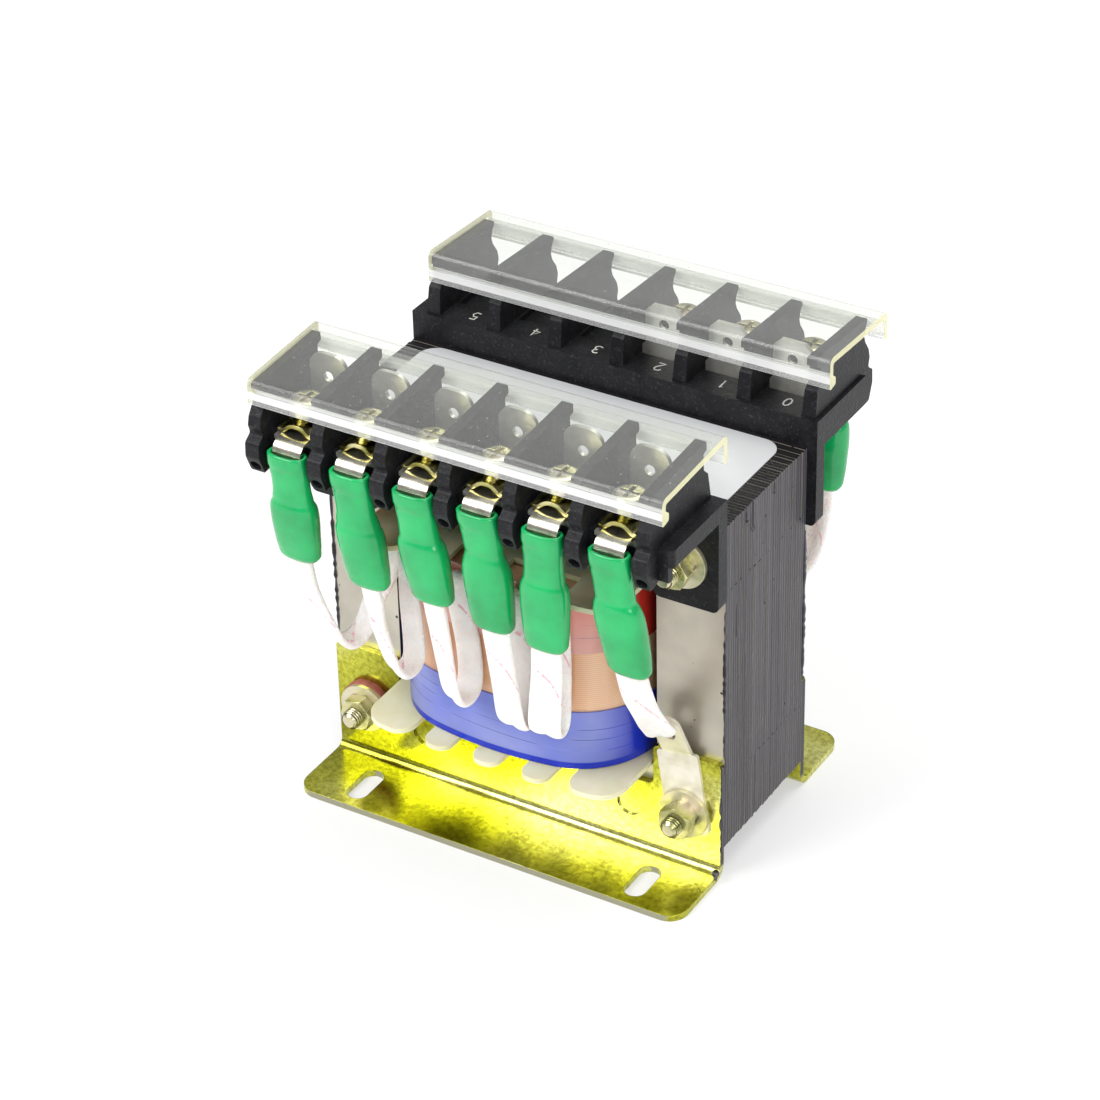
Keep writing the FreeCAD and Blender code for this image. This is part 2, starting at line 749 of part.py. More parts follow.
def screw_washers():
    """Arched washer that stands on its two side edges, and the split washer on its crown."""
    hole = screw_diameter / 2 + 0.15
    foot_x = saddle_width / 2 - saddle_foot
    crown_x = foot_x - saddle_slope
    turn = math.atan2(saddle_rise, saddle_slope) / 2
    shift = saddle_thickness * math.tan(turn)
    crown_bend = crown_x / math.tan(turn) * 0.7
    edge_bend = saddle_thickness
    upper = saddle_line(foot_x, crown_x, saddle_thickness, edge_bend, crown_bend)
    lower = saddle_line(foot_x - shift, crown_x - shift, 0, edge_bend + saddle_thickness,
                        crown_bend - saddle_thickness)
    saddle = outward(lower + upper[::-1], screw_line - saddle_depth / 2,
                     screw_line + saddle_depth / 2)
    saddle = saddle.cut(Part.makeCylinder(hole, saddle_high, V(0, -screw_line, ring_high / 2)))
    spring = split_ring(screw_spring_diameter, hole * 2, screw_spring_thickness, spring_slit)
    spring.rotate(V(0, 0, 0), V(0, 0, 1), 200)
    spring.translate(V(0, -screw_line, saddle_high))
    return [saddle, spring]


def stadium(width, depth, centre):
    """Level wire with straight long sides and round ends."""
    r = depth / 2
    a = width / 2 - r
    c = centre
    edges = [Part.LineSegment(c + V(-a, -r, 0), c + V(a, -r, 0)).toShape(),
             Part.Arc(c + V(a, -r, 0), c + V(a + r, 0, 0), c + V(a, r, 0)).toShape(),
             Part.LineSegment(c + V(a, r, 0), c + V(-a, r, 0)).toShape(),
             Part.Arc(c + V(-a, r, 0), c + V(-a - r, 0, 0), c + V(-a, -r, 0)).toShape()]
    return Part.Wire(edges)


def sleeve_point(x, lean_x, drop, z):
    """Middle line of a sleeve that leans by lean_x over its drop."""
    part = (sleeve_top - z) / drop
    return V(x + lean_x * part, -sleeve_line + sleeve_lean_out * part, z)


def ring_terminal(x, lean_x, drop):
    """Flat ring, neck bent down in front of the block, crimp that leans with the sleeve."""
    drop_in = sleeve_line - ring_thickness / 2
    drop_face = sleeve_line + ring_thickness / 2
    neck_low = ring_low - neck_bend - ring_thickness / 4
    strip = across([(screw_line, ring_low, 0), (drop_in, ring_low, neck_bend),
                    (drop_in, neck_low, 0), (drop_face, neck_low, 0),
                    (drop_face, ring_high, neck_bend + ring_thickness), (screw_line, ring_high, 0)],
                   -neck_width / 2, neck_width / 2)
    eye = Part.makeCylinder(ring_diameter / 2, ring_thickness, V(0, -screw_line, ring_low))
    strip = strip.fuse(eye)
    strip.translate(V(x, 0, 0))
    start = sleeve_point(x, lean_x, drop, sleeve_top)
    middle = sleeve_point(x, lean_x, drop, crimp_top)
    end = sleeve_point(x, lean_x, drop, crimp_top - crimp_length)
    cap = sleeve_point(x, lean_x, drop, crimp_top - 1.0)
    neck = upright(rectangle(-neck_width / 2, neck_width / 2, -ring_thickness / 2,
                             ring_thickness / 2, 0), 0, 1).Faces
    level = [face for face in neck if abs(face.CenterOfMass.z) < EVEN][0]
    level.translate(start)
    neck_prism = level.extrude(middle - start)
    crimp = Part.Face(stadium(crimp_width, crimp_depth, middle)).extrude(end - middle)
    hollow = Part.Face(stadium(crimp_width - 2 * crimp_wall, crimp_depth - 2 * crimp_wall, cap))
    body = strip.multiFuse([neck_prism, crimp]).cut(hollow.extrude(end - cap))
    return body.cut(Part.makeCylinder(ring_hole / 2, 4, V(x, -screw_line, ring_low - 1)))


def sleeve(x, lean_x, drop):
    """Soft sleeve with a waist and a bulge over the crimp, open at both ends."""
    sections = [(a * drop / sleeve_drawn_drop, w, d) for a, w, d in sleeve_sections]
    sections.append((drop, sleeve_end_width, sleeve_end_depth))
    shells = []
    for inset in (0.0, 2 * sleeve_wall):
        wires = []
        for fall, w, d in sections:
            centre = sleeve_point(x, lean_x, drop, sleeve_top - fall)
            wires.append(stadium(w - inset, d - inset, centre))
        shells.append(Part.makeLoft(wires, True, True))
    return shells[0].cut(shells[1])


# Leads: middle lines as straight runs joined by arcs that they touch
def rounded_route(points):
    """Wire of straight runs and tangent arcs, with its length and its smallest radius."""
    arcs = []
    for i in range(1, len(points) - 1):
        here = points[i]
        back = points[i - 1] - here
        ahead = points[i + 1] - here
        shorter = min(back.Length, ahead.Length)
        back.normalize()
        ahead.normalize()
        half_turn = (math.pi - back.getAngle(ahead)) / 2
        reach = 0.45 * shorter
        radius = reach / math.tan(half_turn)
        middle = back + ahead
        middle.normalize()
        crown = here + middle * (radius / math.cos(half_turn) - radius)
        arcs.append((here + back * reach, crown, here + ahead * reach, radius))
    edges = []
    start = points[0]
    for begin, crown, end, radius in arcs:
        edges.append(Part.LineSegment(start, begin).toShape())
        edges.append(Part.Arc(begin, crown, end).toShape())
        start = end
    edges.append(Part.LineSegment(start, points[-1]).toShape())
    wire = Part.Wire(edges)
    return wire, wire.Length, min(arc[3] for arc in arcs)


def flat_lead(name, points):
    """Flat lead along a route, its width always along X."""
    wire, length, radius = rounded_route(points)
    course = points[1] - points[0]
    course.normalize()
    normal = V(1, 0, 0).cross(course)
    normal.normalize()
    wide = V(lead_width / 2, 0, 0)
    thick = normal * (lead_thickness / 2)
    corners = [points[0] - wide - thick, points[0] + wide - thick,
               points[0] + wide + thick, points[0] - wide + thick]
    section = Part.makePolygon(corners + [corners[0]])
    pipe = Part.BRepOffsetAPI.MakePipeShell(wire)
    pipe.setBiNormalMode(V(1, 0, 0))
    pipe.add(section)
    pipe.build()
    pipe.makeSolid()
    body = pipe.shape()
    if body.Volume < 0:
        body.reverse()
    print(name, "length", round(length, 1), "smallest radius", round(radius, 2),
          "volume over section times length",
          round(body.Volume / (lead_width * lead_thickness * length), 3))
    return body


coil_rest = lead_thickness / 2 + lead_rest_gap
lead_top = coil_high - lead_end_below_tape


def loop_route(x, lean_x, drop, low, up, end_x):
    """Route from the crimp down, round a U bend and up to the coil face."""
    exit_z = sleeve_top - drop
    start = sleeve_point(x, lean_x, drop, crimp_top - lead_start_in_crimp)
    below = sleeve_point(x, lean_x, drop, exit_z - lead_straight_below_sleeve)
    points = [start, below]
    points += [V(a, b, c) for a, b, c in low + up]
    near_x = max(abs(end_x) - lead_width / 2, 0)
    rest = coil_surface(near_x, -red_double_thickness) + coil_rest
    points.append(V(end_x, -rest, lead_top))
    return points


# Each front lead: lean of its sleeve, drop of its sleeve, falling points, rising points, end x
front_leads = [
    (0.0, 26.5, [(-36.6, -39.9, 53.5), (-31.9, -39.2, 45.4)],
     [(-30.6, -33.0, 45.6), (-28.6, -31.4, 53.8), (-25.0, -29.8, 61.4)], -23.0),
    (1.8, 27.8, [(-20.9, -39.9, 50.9), (-18.2, -39.2, 42.4)],
     [(-17.4, -33.2, 42.4), (-17.9, -32.9, 51.0), (-18.7, -32.7, 59.6)], -18.9),
    (2.2, 26.7, [(-5.7, -39.7, 49.8), (-4.5, -39.2, 40.0)],
     [(-3.9, -33.2, 39.8), (-3.8, -32.9, 49.0), (-5.6, -32.9, 59.0)], -7.4),
    (1.8, 28.5, [(8.6, -39.2, 47.8), (9.3, -38.6, 38.2)],
     [(9.4, -33.9, 38.0), (9.4, -32.8, 46.0), (9.0, -32.6, 57.6)], 8.4),
    (-1.2, 29.4, [(18.0, -39.0, 48.0), (16.9, -38.2, 38.4)],
     [(16.8, -33.6, 38.2), (16.7, -32.6, 46.0), (16.4, -31.8, 57.4)], 15.9),
]
earth_sleeve = (2.8, 29.1)
tag_end = V(35.7, -22.95, 36.2)
earth_points = [(41.2, -35.2, 47.9), (38.2, -27.4, 40.2)]
rear_leads = [
    (0.0, 28.0, [(-39.0, -39.6, 50.5), (-36.6, -38.8, 42.4)],
     [(-35.0, -33.2, 42.4), (-31.0, -31.6, 50.4), (-26.2, -30.4, 59.4)], -23.0),
    (1.0, 28.0, [(-22.6, -39.6, 50.5), (-21.2, -38.8, 42.0)],
     [(-20.4, -33.0, 42.0), (-18.4, -32.6, 51.0), (-15.0, -32.2, 60.4)], -12.6),
    (1.0, 28.0, [(-7.4, -39.6, 50.0), (-6.0, -39.0, 41.4)],
     [(-5.6, -33.2, 41.4), (-4.6, -32.9, 50.0), (-3.6, -32.9, 60.0)], -3.0),
]

leads = []
for k in range(len(front_leads)):
    lean_x, drop, low, up, end_x = front_leads[k]
    name = "lead_" + str(k + 1)
    leads.append((name, flat_lead(name, loop_route(pole_line[k], lean_x, drop, low, up, end_x))))
earth_route = [sleeve_point(pole_line[-1], earth_sleeve[0], earth_sleeve[1],
                            crimp_top - lead_start_in_crimp),
               sleeve_point(pole_line[-1], earth_sleeve[0], earth_sleeve[1],
                            sleeve_top - earth_sleeve[1] - lead_straight_below_sleeve)]
earth_route += [V(a, b, c) for a, b, c in earth_points] + [tag_end]
leads.append(("lead_6", flat_lead("lead_6", earth_route)))
for k in range(len(rear_leads)):
    lean_x, drop, low, up, end_x = rear_leads[k]
    name = "rear_lead_" + str(k + 1)
    leads.append((name, to_rear(flat_lead(name, loop_route(pole_line[k], lean_x, drop, low,
                                                           up, end_x)))))
for name, body in leads:
    save(name, [body])

front_set = [(pole_line[k], front_leads[k][0], front_leads[k][1]) for k in range(5)]
front_set.append((pole_line[5], earth_sleeve[0], earth_sleeve[1]))
rear_set = [(pole_line[k], rear_leads[k][0], rear_leads[k][1]) for k in range(3)]


def moved(shape, x):
    """Copy of a piece made at x 0, moved along the row."""
    copy = shape.copy()
    copy.translate(V(x, 0, 0))
    return copy


for name, row, turn_round in (("front", front_set, False), ("rear", rear_set, True)):
    plates = [moved(terminal_plate(turn_round), x) for x, lean_x, drop in row]
    screws = [moved(terminal_screw(), x) for x, lean_x, drop in row]
    row_washers = [moved(piece, x) for x, lean_x, drop in row for piece in screw_washers()]
    rings = [ring_terminal(x, lean_x, drop) for x, lean_x, drop in row]
    sleeves = [sleeve(x, lean_x, drop) for x, lean_x, drop in row]
    groups = [("terminal_plates", plates), ("terminal_screws", screws),
              ("screw_washers", row_washers), ("ring_terminals", rings), ("sleeves", sleeves)]
    for kind, pieces in groups:
        if turn_round:
            pieces = [to_rear(piece) for piece in pieces]
        save(name + "_" + kind, pieces)


# Covers: bent sheet with a hooked lip and a plain lip, open at both ends
def cover_drawing(hook, plain):
    """Side drawing of a cover, from the hooked lip to the plain lip (distance out)."""
    way = 1 if plain > hook else -1
    fall = cover_fall / abs(cover_outer - cover_inner)
    inner_end = min(abs(hook), abs(plain))

    def height(out):
        return deck + barrier_rise + cover_gap - fall * (out - inner_end)

    t = cover_thickness
    h = cover_hook_thickness
    tip = deck + cover_hook_tip
    end = height(plain) - cover_lip_depth + t
    return [(hook, height(hook) + t, 1.6), (hook, tip, 0.6),
            (hook + way * (h + cover_bead), tip + 0.5, 0.5),
            (hook + way * (h + cover_bead), tip + cover_bead_height, 0.5),
            (hook + way * h, tip + cover_bead_height + 0.9, 0),
            (hook + way * h, height(hook + way * h), 0.6),
            (plain - way * t, height(plain - way * t), 0.6), (plain - way * t, end, 0.3),
            (plain, end, 0.3), (plain, height(plain) + t, 1.6)]


inner_edge = half_stack + cover_inner
outer_edge = half_stack + cover_outer
front_middle = block_shift + cover_shift
front_cover = across(cover_drawing(outer_edge, inner_edge), front_middle - cover_length / 2,
                     front_middle + cover_length / 2)
save("front_cover", [front_cover])
rear_middle = block_shift - cover_shift
rear_cover = across(cover_drawing(inner_edge, outer_edge), rear_middle - cover_length / 2,
                    rear_middle + cover_length / 2)
save("rear_cover", [to_rear(rear_cover)])

# Name label on top of the core
label = upright(rectangle(-label_x, label_x, -label_y, label_y, label_corner), core_top,
                core_top + label_thickness)
save("name_label", [label])
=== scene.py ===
# %% [markdown]
# # Step-down transformer
# A core of punched steel sheets holds a wound bobbin. Two bent feet carry it, and two rows of
# screw terminals hang on its top corners. The CAD nodes give every piece its place. This
# notebook gives them their finishes, and makes again the pieces whose real surface a plain
# solid can't show: the stack of single sheets, the screw threads, the soft green sleeves and
# the flat white leads.

# %% Open the frame
import bpy
import numpy as np
from mathutils import Matrix, Vector


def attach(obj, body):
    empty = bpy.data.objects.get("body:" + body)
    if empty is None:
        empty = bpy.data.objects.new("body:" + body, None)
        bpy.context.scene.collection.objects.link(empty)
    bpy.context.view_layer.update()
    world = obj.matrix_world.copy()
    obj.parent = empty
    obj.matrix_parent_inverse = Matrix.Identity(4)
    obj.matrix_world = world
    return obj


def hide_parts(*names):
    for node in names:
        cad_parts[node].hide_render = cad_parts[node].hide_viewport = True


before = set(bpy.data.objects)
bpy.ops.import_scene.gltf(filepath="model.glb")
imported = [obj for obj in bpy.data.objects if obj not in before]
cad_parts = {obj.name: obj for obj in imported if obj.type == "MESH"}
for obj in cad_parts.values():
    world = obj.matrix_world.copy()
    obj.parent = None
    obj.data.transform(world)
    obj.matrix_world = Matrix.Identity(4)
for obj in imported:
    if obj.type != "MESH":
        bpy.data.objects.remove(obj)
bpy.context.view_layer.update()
MM = 0.001
HALF_TURN = np.array([-1, -1, 1])
chance = np.random.default_rng(26)

# %% [markdown]
# ## Helpers
# A mesh here is an array of points and some arrays of faces, worked out by a formula.
# Materials are node graphs, so one helper adds a node with its values and links, and another
# turns the usual hex colour of a designer into the linear values that the renderer wants.


# %% Mesh helpers
def grid_faces(rows, columns, closed=False):
    """Quads of a grid of points, row by row. The last column joins the first, and where the
    grid is closed the last row joins the first as well."""
    i, j = np.mgrid[:rows if closed else rows - 1, :columns]
    next_i, next_j = (i + 1) % rows, (j + 1) % columns
    quads = np.stack([i * columns + j, i * columns + next_j, next_i * columns + next_j,
                      next_i * columns + j], -1)
    return quads.reshape(-1, 4)


def mesh_piece(name, shapes, materials, smooth=True, parts=()):
    """One object from several shapes. A shape is an array of points in millimetres and a list
    of face arrays, each array for one number of corners. Parts numbers the material of the
    first faces, and the other faces have material 0."""
    points, faces = [], []
    total = 0
    for made, blocks in shapes:
        points.append(made)
        for block in blocks:
            faces += (block + total).tolist()
        total += len(made)
    mesh = bpy.data.meshes.new(name)
    mesh.from_pydata((np.vstack(points) * MM).tolist(), [], faces)
    mesh.polygons.foreach_set("use_smooth", [smooth] * len(faces))
    for material in materials:
        mesh.materials.append(material)
    mesh.polygons.foreach_set("material_index", [*parts] + [0] * (len(faces) - len(parts)))
    mesh.validate()
    mesh.update()
    piece = bpy.data.objects.new(name, mesh)
    bpy.context.scene.collection.objects.link(piece)
    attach(piece, "root")
    return piece


# %% Colour and node helpers
def colour(shade):
    """Linear colour of an sRGB hex code. A plain number is a linear grey, and a colour that is
    linear already stays as it is."""
    if isinstance(shade, str):
        parts = np.array([int(shade[i:i + 2], 16) for i in (1, 3, 5)]) / 255.0
        linear = np.where(parts <= 0.04045, parts / 12.92, ((parts + 0.055) / 1.055) ** 2.4)
        return (*linear.tolist(), 1.0)
    return (shade,) * 3 + (1.0,) if isinstance(shade, (int, float)) else shade


def add(tree, kind, inputs=None, stops=(), **settings):
    """Add one node with its settings. An input takes a value, a hex colour, or the socket that
    feeds it, and a node stands for its first output. Stops are a colour ramp's own."""
    made = tree.nodes.new(kind)
    for key, value in settings.items():
        setattr(made, key, value)
    for key, value in (inputs or {}).items():
        if isinstance(value, bpy.types.Node):
            value = value.outputs[0]
        if isinstance(value, bpy.types.NodeSocket):
            tree.links.new(value, made.inputs[key])
        else:
            made.inputs[key].default_value = colour(value) if isinstance(value, str) else value
    for extra in range(2, len(stops)):
        made.color_ramp.elements.new(0.5)
    for k, (position, shade) in enumerate(stops):
        made.color_ramp.elements[k].position = position
        made.color_ramp.elements[k].color = colour(shade)
    return made


def new_material(name):
    """Material with an empty graph, and the coordinates that its patterns read, in metres."""
    made = bpy.data.materials.new(name)
    made.use_nodes = True
    made.node_tree.nodes.clear()
    return made, made.node_tree, add(made.node_tree, "ShaderNodeTexCoord").outputs


def cells(size_mm):
    """Scale of a noise or cell pattern whose cells have this size."""
    return 1.0 / (size_mm * MM)


def bands(period_mm):
    """Scale of a wave pattern with this period: at scale 1 its period is pi / 10."""
    return np.pi / 10 / (period_mm * MM)


# A Mix node has an A and a B for each kind of data: these are its colour sockets.
COLOUR_A, COLOUR_B, MIXED = 6, 7, 2
print("grey check", colour("#808080"))

# %% [markdown]
# ## Camera
# The camera was fitted to the corners of the core, the feet and the covers in the photograph:
# a long lens, about 0.8 m away, turned 31.6 degrees to the right and looking down by 32.8
# degrees, with a slight roll. It comes first, because the cords are checked against it.

# %% Camera
AZIMUTH = 31.6
ELEVATION = 32.84
ROLL = -1.43
LENS = 117.49
SENSOR = 36.0
DISTANCE = 771.2
AIM = (0.0, 0.0, 45.0)
SIDEWAYS = -3.67
UPWARDS = 10.19
NEAREST = 0.02
FARTHEST = 20.0


def camera_axes(azimuth, elevation, roll):
    """Right, up and back directions of a camera, after its roll."""
    a, e, r = np.radians([azimuth, elevation, roll])
    back = np.array([np.sin(a) * np.cos(e), -np.cos(a) * np.cos(e), np.sin(e)])
    right = np.array([np.cos(a), np.sin(a), 0.0])
    up = np.cross(back, right)
    return (np.cos(r) * right + np.sin(r) * up, np.cos(r) * up - np.sin(r) * right, back)


right, up, back = camera_axes(AZIMUTH, ELEVATION, ROLL)
eye = (np.array(AIM) + right * SIDEWAYS + up * UPWARDS + back * DISTANCE) * MM
lens = bpy.data.cameras.new("camera")
lens.lens = LENS
lens.sensor_width = SENSOR
lens.clip_start = NEAREST
lens.clip_end = FARTHEST
camera = bpy.data.objects.new("camera", lens)
camera.matrix_world = Matrix([*np.column_stack([right, up, back, eye]).tolist(), [0, 0, 0, 1]])
bpy.context.scene.collection.objects.link(camera)
bpy.context.scene.camera = camera
print("camera at", np.round(eye, 4))

# %% [markdown]
# ## Metals
# Yellow passivated zinc is a thin chromate film on bright plating: a mirror-like yellow that
# goes olive where it reflects something dark, with a faint green and pink shift. Here its
# colour carries olive and pale zones at random, partly the film's own tint and partly painted
# reflection. Tin plate is pale and soft. The core's sheets are bare silicon steel on their
# faces, and black varnish covers their cut edges. A pattern's size is given in millimetres.
# Crystals and rolled grain are finer in truth, and are drawn as coarse as they need to show.


# %% Masks
def side_mask(tree, place, axis, low, high):
    """1 where a face looks along an axis, 0 elsewhere, with a short ramp between."""
    split = add(tree, "ShaderNodeSeparateXYZ", {"Vector": place["Normal"]})
    size = add(tree, "ShaderNodeMath", {0: split.outputs[axis]}, operation="ABSOLUTE")
    return add(tree, "ShaderNodeMapRange", {"Value": size, "From Min": low, "From Max": high})


def height_mask(tree, place, low_mm, high_mm):
    """0 at the low height, 1 at the high one, evenly between."""
    split = add(tree, "ShaderNodeSeparateXYZ", {"Vector": place["Object"]})
    return add(tree, "ShaderNodeMapRange", {
        "Value": split.outputs["Z"], "From Min": low_mm * MM, "From Max": high_mm * MM})


# %% Yellow zinc
BROKEN_EDGE = 0.3
CRYSTAL = 1.11


def zinc_film(name, low, middle, high, spread, mottle, gloss, metallic=1.0):
    """Chromate film over bright zinc: three shades in wide soft zones, so many millimetres
    long, and a fine crystal mottle. The olive low and pale high shades are partly the film's
    own tint and partly painted reflection. No plated edge is sharp, so the Bevel node turns
    the light round it."""
    made, tree, place = new_material(name)
    stretched = add(tree, "ShaderNodeMapping", {
        "Vector": place["Object"], "Scale": (0.7, 1.0, 1.5)})
    cloud = add(tree, "ShaderNodeTexNoise", {
        "Vector": stretched, "Scale": cells(spread), "Detail": 1.5, "Roughness": 0.4})
    # Painted reflection, partly the film's own tint: olive zones for dark surroundings, pale ones
    # for bright, laid at random.
    shade = add(tree, "ShaderNodeValToRGB", {"Fac": cloud}, [
        (0.36, low), (0.5, middle), (0.66, high)])
    grain = add(tree, "ShaderNodeTexNoise", {
        "Vector": place["Object"], "Scale": cells(CRYSTAL), "Detail": 4.0, "Roughness": 0.7})
    speckle = add(tree, "ShaderNodeValToRGB", {"Fac": grain}, [
        (0.36, (0.5, 0.48, 0.3, 1)), (0.6, 1.0)])
    mottled = add(tree, "ShaderNodeMix", {
        0: mottle, COLOUR_A: shade, COLOUR_B: speckle}, data_type="RGBA", blend_type="MULTIPLY")
    rough = add(tree, "ShaderNodeMapRange", {"Value": cloud, "From Min": 0.35, "From Max": 0.65,
        "To Min": gloss, "To Max": gloss + 0.09})
    edge = add(tree, "ShaderNodeBevel", {"Radius": BROKEN_EDGE * MM}, samples=6)
    relief = add(tree, "ShaderNodeBump", {
        "Height": grain, "Normal": edge, "Strength": 0.2 * mottle, "Distance": 0.1 * MM})
    metal = add(tree, "ShaderNodeBsdfPrincipled", {
        "Base Color": mottled.outputs[MIXED], "Roughness": rough, "Normal": relief,
        "Metallic": metallic})
    return made, tree, place, metal


def zinc(*look):
    """The same film all over a piece."""
    made, tree, place, metal = zinc_film(*look)
    add(tree, "ShaderNodeOutputMaterial", {"Surface": metal})
    return made


def zinc_sheet(*look):
    """Bracket sheet: zinc, a sheared steel edge in front, varnish run over its upright ends."""
    made, tree, place, metal = zinc_film(*look)
    steel = add(tree, "ShaderNodeBsdfPrincipled", {
        "Base Color": "#A5A38C", "Metallic": 0.8, "Roughness": 0.35})
    coat = add(tree, "ShaderNodeBsdfPrincipled", {"Base Color": "#1B1A1C", "Roughness": 0.4})
    low = add(tree, "ShaderNodeMath", {
        0: 1.0, 1: height_mask(tree, place, 1.5, 1.8)}, operation="SUBTRACT")
    front = add(tree, "ShaderNodeMath", {
        0: low, 1: side_mask(tree, place, "Y", 0.9, 0.97)}, operation="MULTIPLY")
    upright = add(tree, "ShaderNodeMath", {
        0: height_mask(tree, place, 2.5, 3.5), 1: side_mask(tree, place, "X", 0.9, 0.97)},
        operation="MULTIPLY")
    sheared = add(tree, "ShaderNodeMixShader", {0: front, 1: metal, 2: steel})
    mix = add(tree, "ShaderNodeMixShader", {0: upright, 1: sheared, 2: coat})
    add(tree, "ShaderNodeOutputMaterial", {"Surface": mix})
    return made


ZINC_SHEET = zinc_sheet("yellow passivated zinc on sheet", "#8E8D26", "#D2D352", "#F1F0AE",
                        37.0, 0.8, 0.18)
ZINC = zinc("yellow passivated zinc on screws", "#9A9B66", "#D4D0A6", "#E2D6BF", 4.76, 0.12,
            0.22, 0.9)
NUT_ZINC = zinc("satin zinc on nuts", "#B9B77E", "#D6D39C", "#E6DDBE", 4.76, 0.12, 0.24, 0.75)
WASHER_ZINC = zinc("pale zinc on plain washers", "#BDBA94", "#D8D4B4", "#E6DBC8", 4.76, 0.1,
                   0.28, 0.7)
GOLDEN_ZINC = zinc("yellow zinc on pressed washers", "#625D2C", "#AAA25C", "#E0D8A4", 3.85,
                   0.2, 0.15)
# Painted shade: the thread roots get a dark zinc, for the shade that falls in the grooves.
THREAD_ROOT_SHADE = zinc("yellow zinc in the thread roots", "#4E4A30", "#686248", "#787058", 6.67,
                   0.3, 0.36)
print("zinc ready")


# %% Tin plate
def tin_plate(name, shades, metallic, roughness):
    """Tin plating on brass strip: soft pale clouds, a little warm where it is thin."""
    made, tree, place = new_material(name)
    cloud = add(tree, "ShaderNodeTexNoise", {
        "Vector": place["Object"], "Scale": cells(3.85), "Detail": 5.0})
    shade = add(tree, "ShaderNodeValToRGB", {"Fac": cloud}, list(zip((0.3, 0.55, 0.7), shades)))
    relief = add(tree, "ShaderNodeBump", {"Height": cloud, "Strength": 0.12, "Distance": 0.2 * MM})
    metal = add(tree, "ShaderNodeBsdfPrincipled", {
        "Base Color": shade, "Normal": relief, "Metallic": metallic, "Roughness": roughness})
    add(tree, "ShaderNodeOutputMaterial", {"Surface": metal})
    return made


TIN = tin_plate("tin plated brass", ("#CFCDC4", "#E6E5DE", "#EBE6E0"), 0.75, 0.3)
# On the pressed rings the darker, browner shades are partly painted dark reflection.
BRIGHT_TIN = tin_plate("bright tin on pressed rings", ("#A8A290", "#D2CFC2", "#E6DCCD"), 0.95,
                       0.24)
TAG_TIN = tin_plate("thick tin on the tag", ("#DCD5BE", "#F0EBDC", "#F4EEE4"), 0.35, 0.35)
print("tin ready")


# %% Core sheet and its varnish
PAIR_THICK = 1.0


def bare_sheet():
    """Face of a silicon steel sheet: rolled grey with a few dark specks."""
    made, tree, place = new_material("cold rolled silicon steel")
    cloud = add(tree, "ShaderNodeTexNoise", {
        "Vector": place["Object"], "Scale": cells(16.7), "Detail": 6.0})
    shade = add(tree, "ShaderNodeValToRGB", {"Fac": cloud}, [(0.3, "#B0AB9E"), (0.65, "#CFCABC")])
    speck = add(tree, "ShaderNodeTexVoronoi", {"Vector": place["Object"], "Scale": cells(3.03)})
    dots = add(tree, "ShaderNodeValToRGB", {"Fac": speck}, [(0.0, 0.05), (0.09, 0.1), (0.13, 1.0)])
    some = add(tree, "ShaderNodeTexNoise", {"Vector": place["Object"], "Scale": cells(5.88)})
    rare = add(tree, "ShaderNodeValToRGB", {"Fac": some}, [(0.5, 0.0), (0.52, 1.0)])
    mix = add(tree, "ShaderNodeMix", {
        0: rare, COLOUR_A: shade, COLOUR_B: dots}, data_type="RGBA", blend_type="MULTIPLY")
    metal = add(tree, "ShaderNodeBsdfPrincipled", {
        "Base Color": mix.outputs[MIXED], "Metallic": 0.7, "Roughness": 0.36})
    add(tree, "ShaderNodeOutputMaterial", {"Surface": metal})
    return made


def core_varnish():
    """Black air-drying varnish on the punched edges: each sheet its own grey. The faces that
    look sideways are painted a lighter grey, a painted sheen on the black; the top stays near
    black.
    """
    made, tree, place = new_material("black core varnish")
    sheet_by_sheet = add(tree, "ShaderNodeMapping", {
        "Vector": place["Object"], "Scale": (cells(143), cells(1.43), cells(143))})
    streak = add(tree, "ShaderNodeTexNoise", {
        "Vector": sheet_by_sheet, "Scale": 1.0, "Detail": 1.0})
    ridges = add(tree, "ShaderNodeTexWave", {
        "Vector": place["Object"], "Scale": bands(PAIR_THICK), "Distortion": 0.15},
        bands_direction="Y")
    blot = add(tree, "ShaderNodeTexNoise", {
        "Vector": place["Object"], "Scale": cells(2.0), "Detail": 5.0})
    both = add(tree, "ShaderNodeMix", {"Factor": 0.5, "A": streak, "B": ridges.outputs["Fac"]})
    # Painted sheen: the sideways faces get a lighter grey than the black varnish, the top stays
    # dark.
    side = add(tree, "ShaderNodeValToRGB", {"Fac": both}, [
        (0.2, "#29272B"), (0.45, "#4B494E"), (0.75, "#67656A")])
    top = add(tree, "ShaderNodeValToRGB", {"Fac": both}, [(0.25, "#0E0D0F"), (0.75, "#242225")])
    mix = add(tree, "ShaderNodeMix", {
        0: side_mask(tree, place, "Z", 0.4, 0.7), COLOUR_A: side, COLOUR_B: top}, data_type="RGBA")
    relief = add(tree, "ShaderNodeBump", {"Height": blot, "Strength": 0.5, "Distance": 0.2 * MM})
    coat = add(tree, "ShaderNodeBsdfPrincipled", {
        "Base Color": mix.outputs[MIXED], "Normal": relief, "Roughness": 0.42,
        "Specular IOR Level": 0.22})
    add(tree, "ShaderNodeOutputMaterial", {"Surface": coat})
    return made


SHEET = bare_sheet()
VARNISH = core_varnish()
print("metals ready")

# %% [markdown]
# ## Plastics
# The blocks are moulded in a dark grey thermoplastic with a satin skin. The bobbin is natural
# nylon, a little see-through and yellowed. The sleeves are soft PVC, glossy. The leads have a
# white woven sleeve with a pink tracer thread, and the tapes are clear coloured polyester.

# %% Moulded plastics
SKIN = 0.667


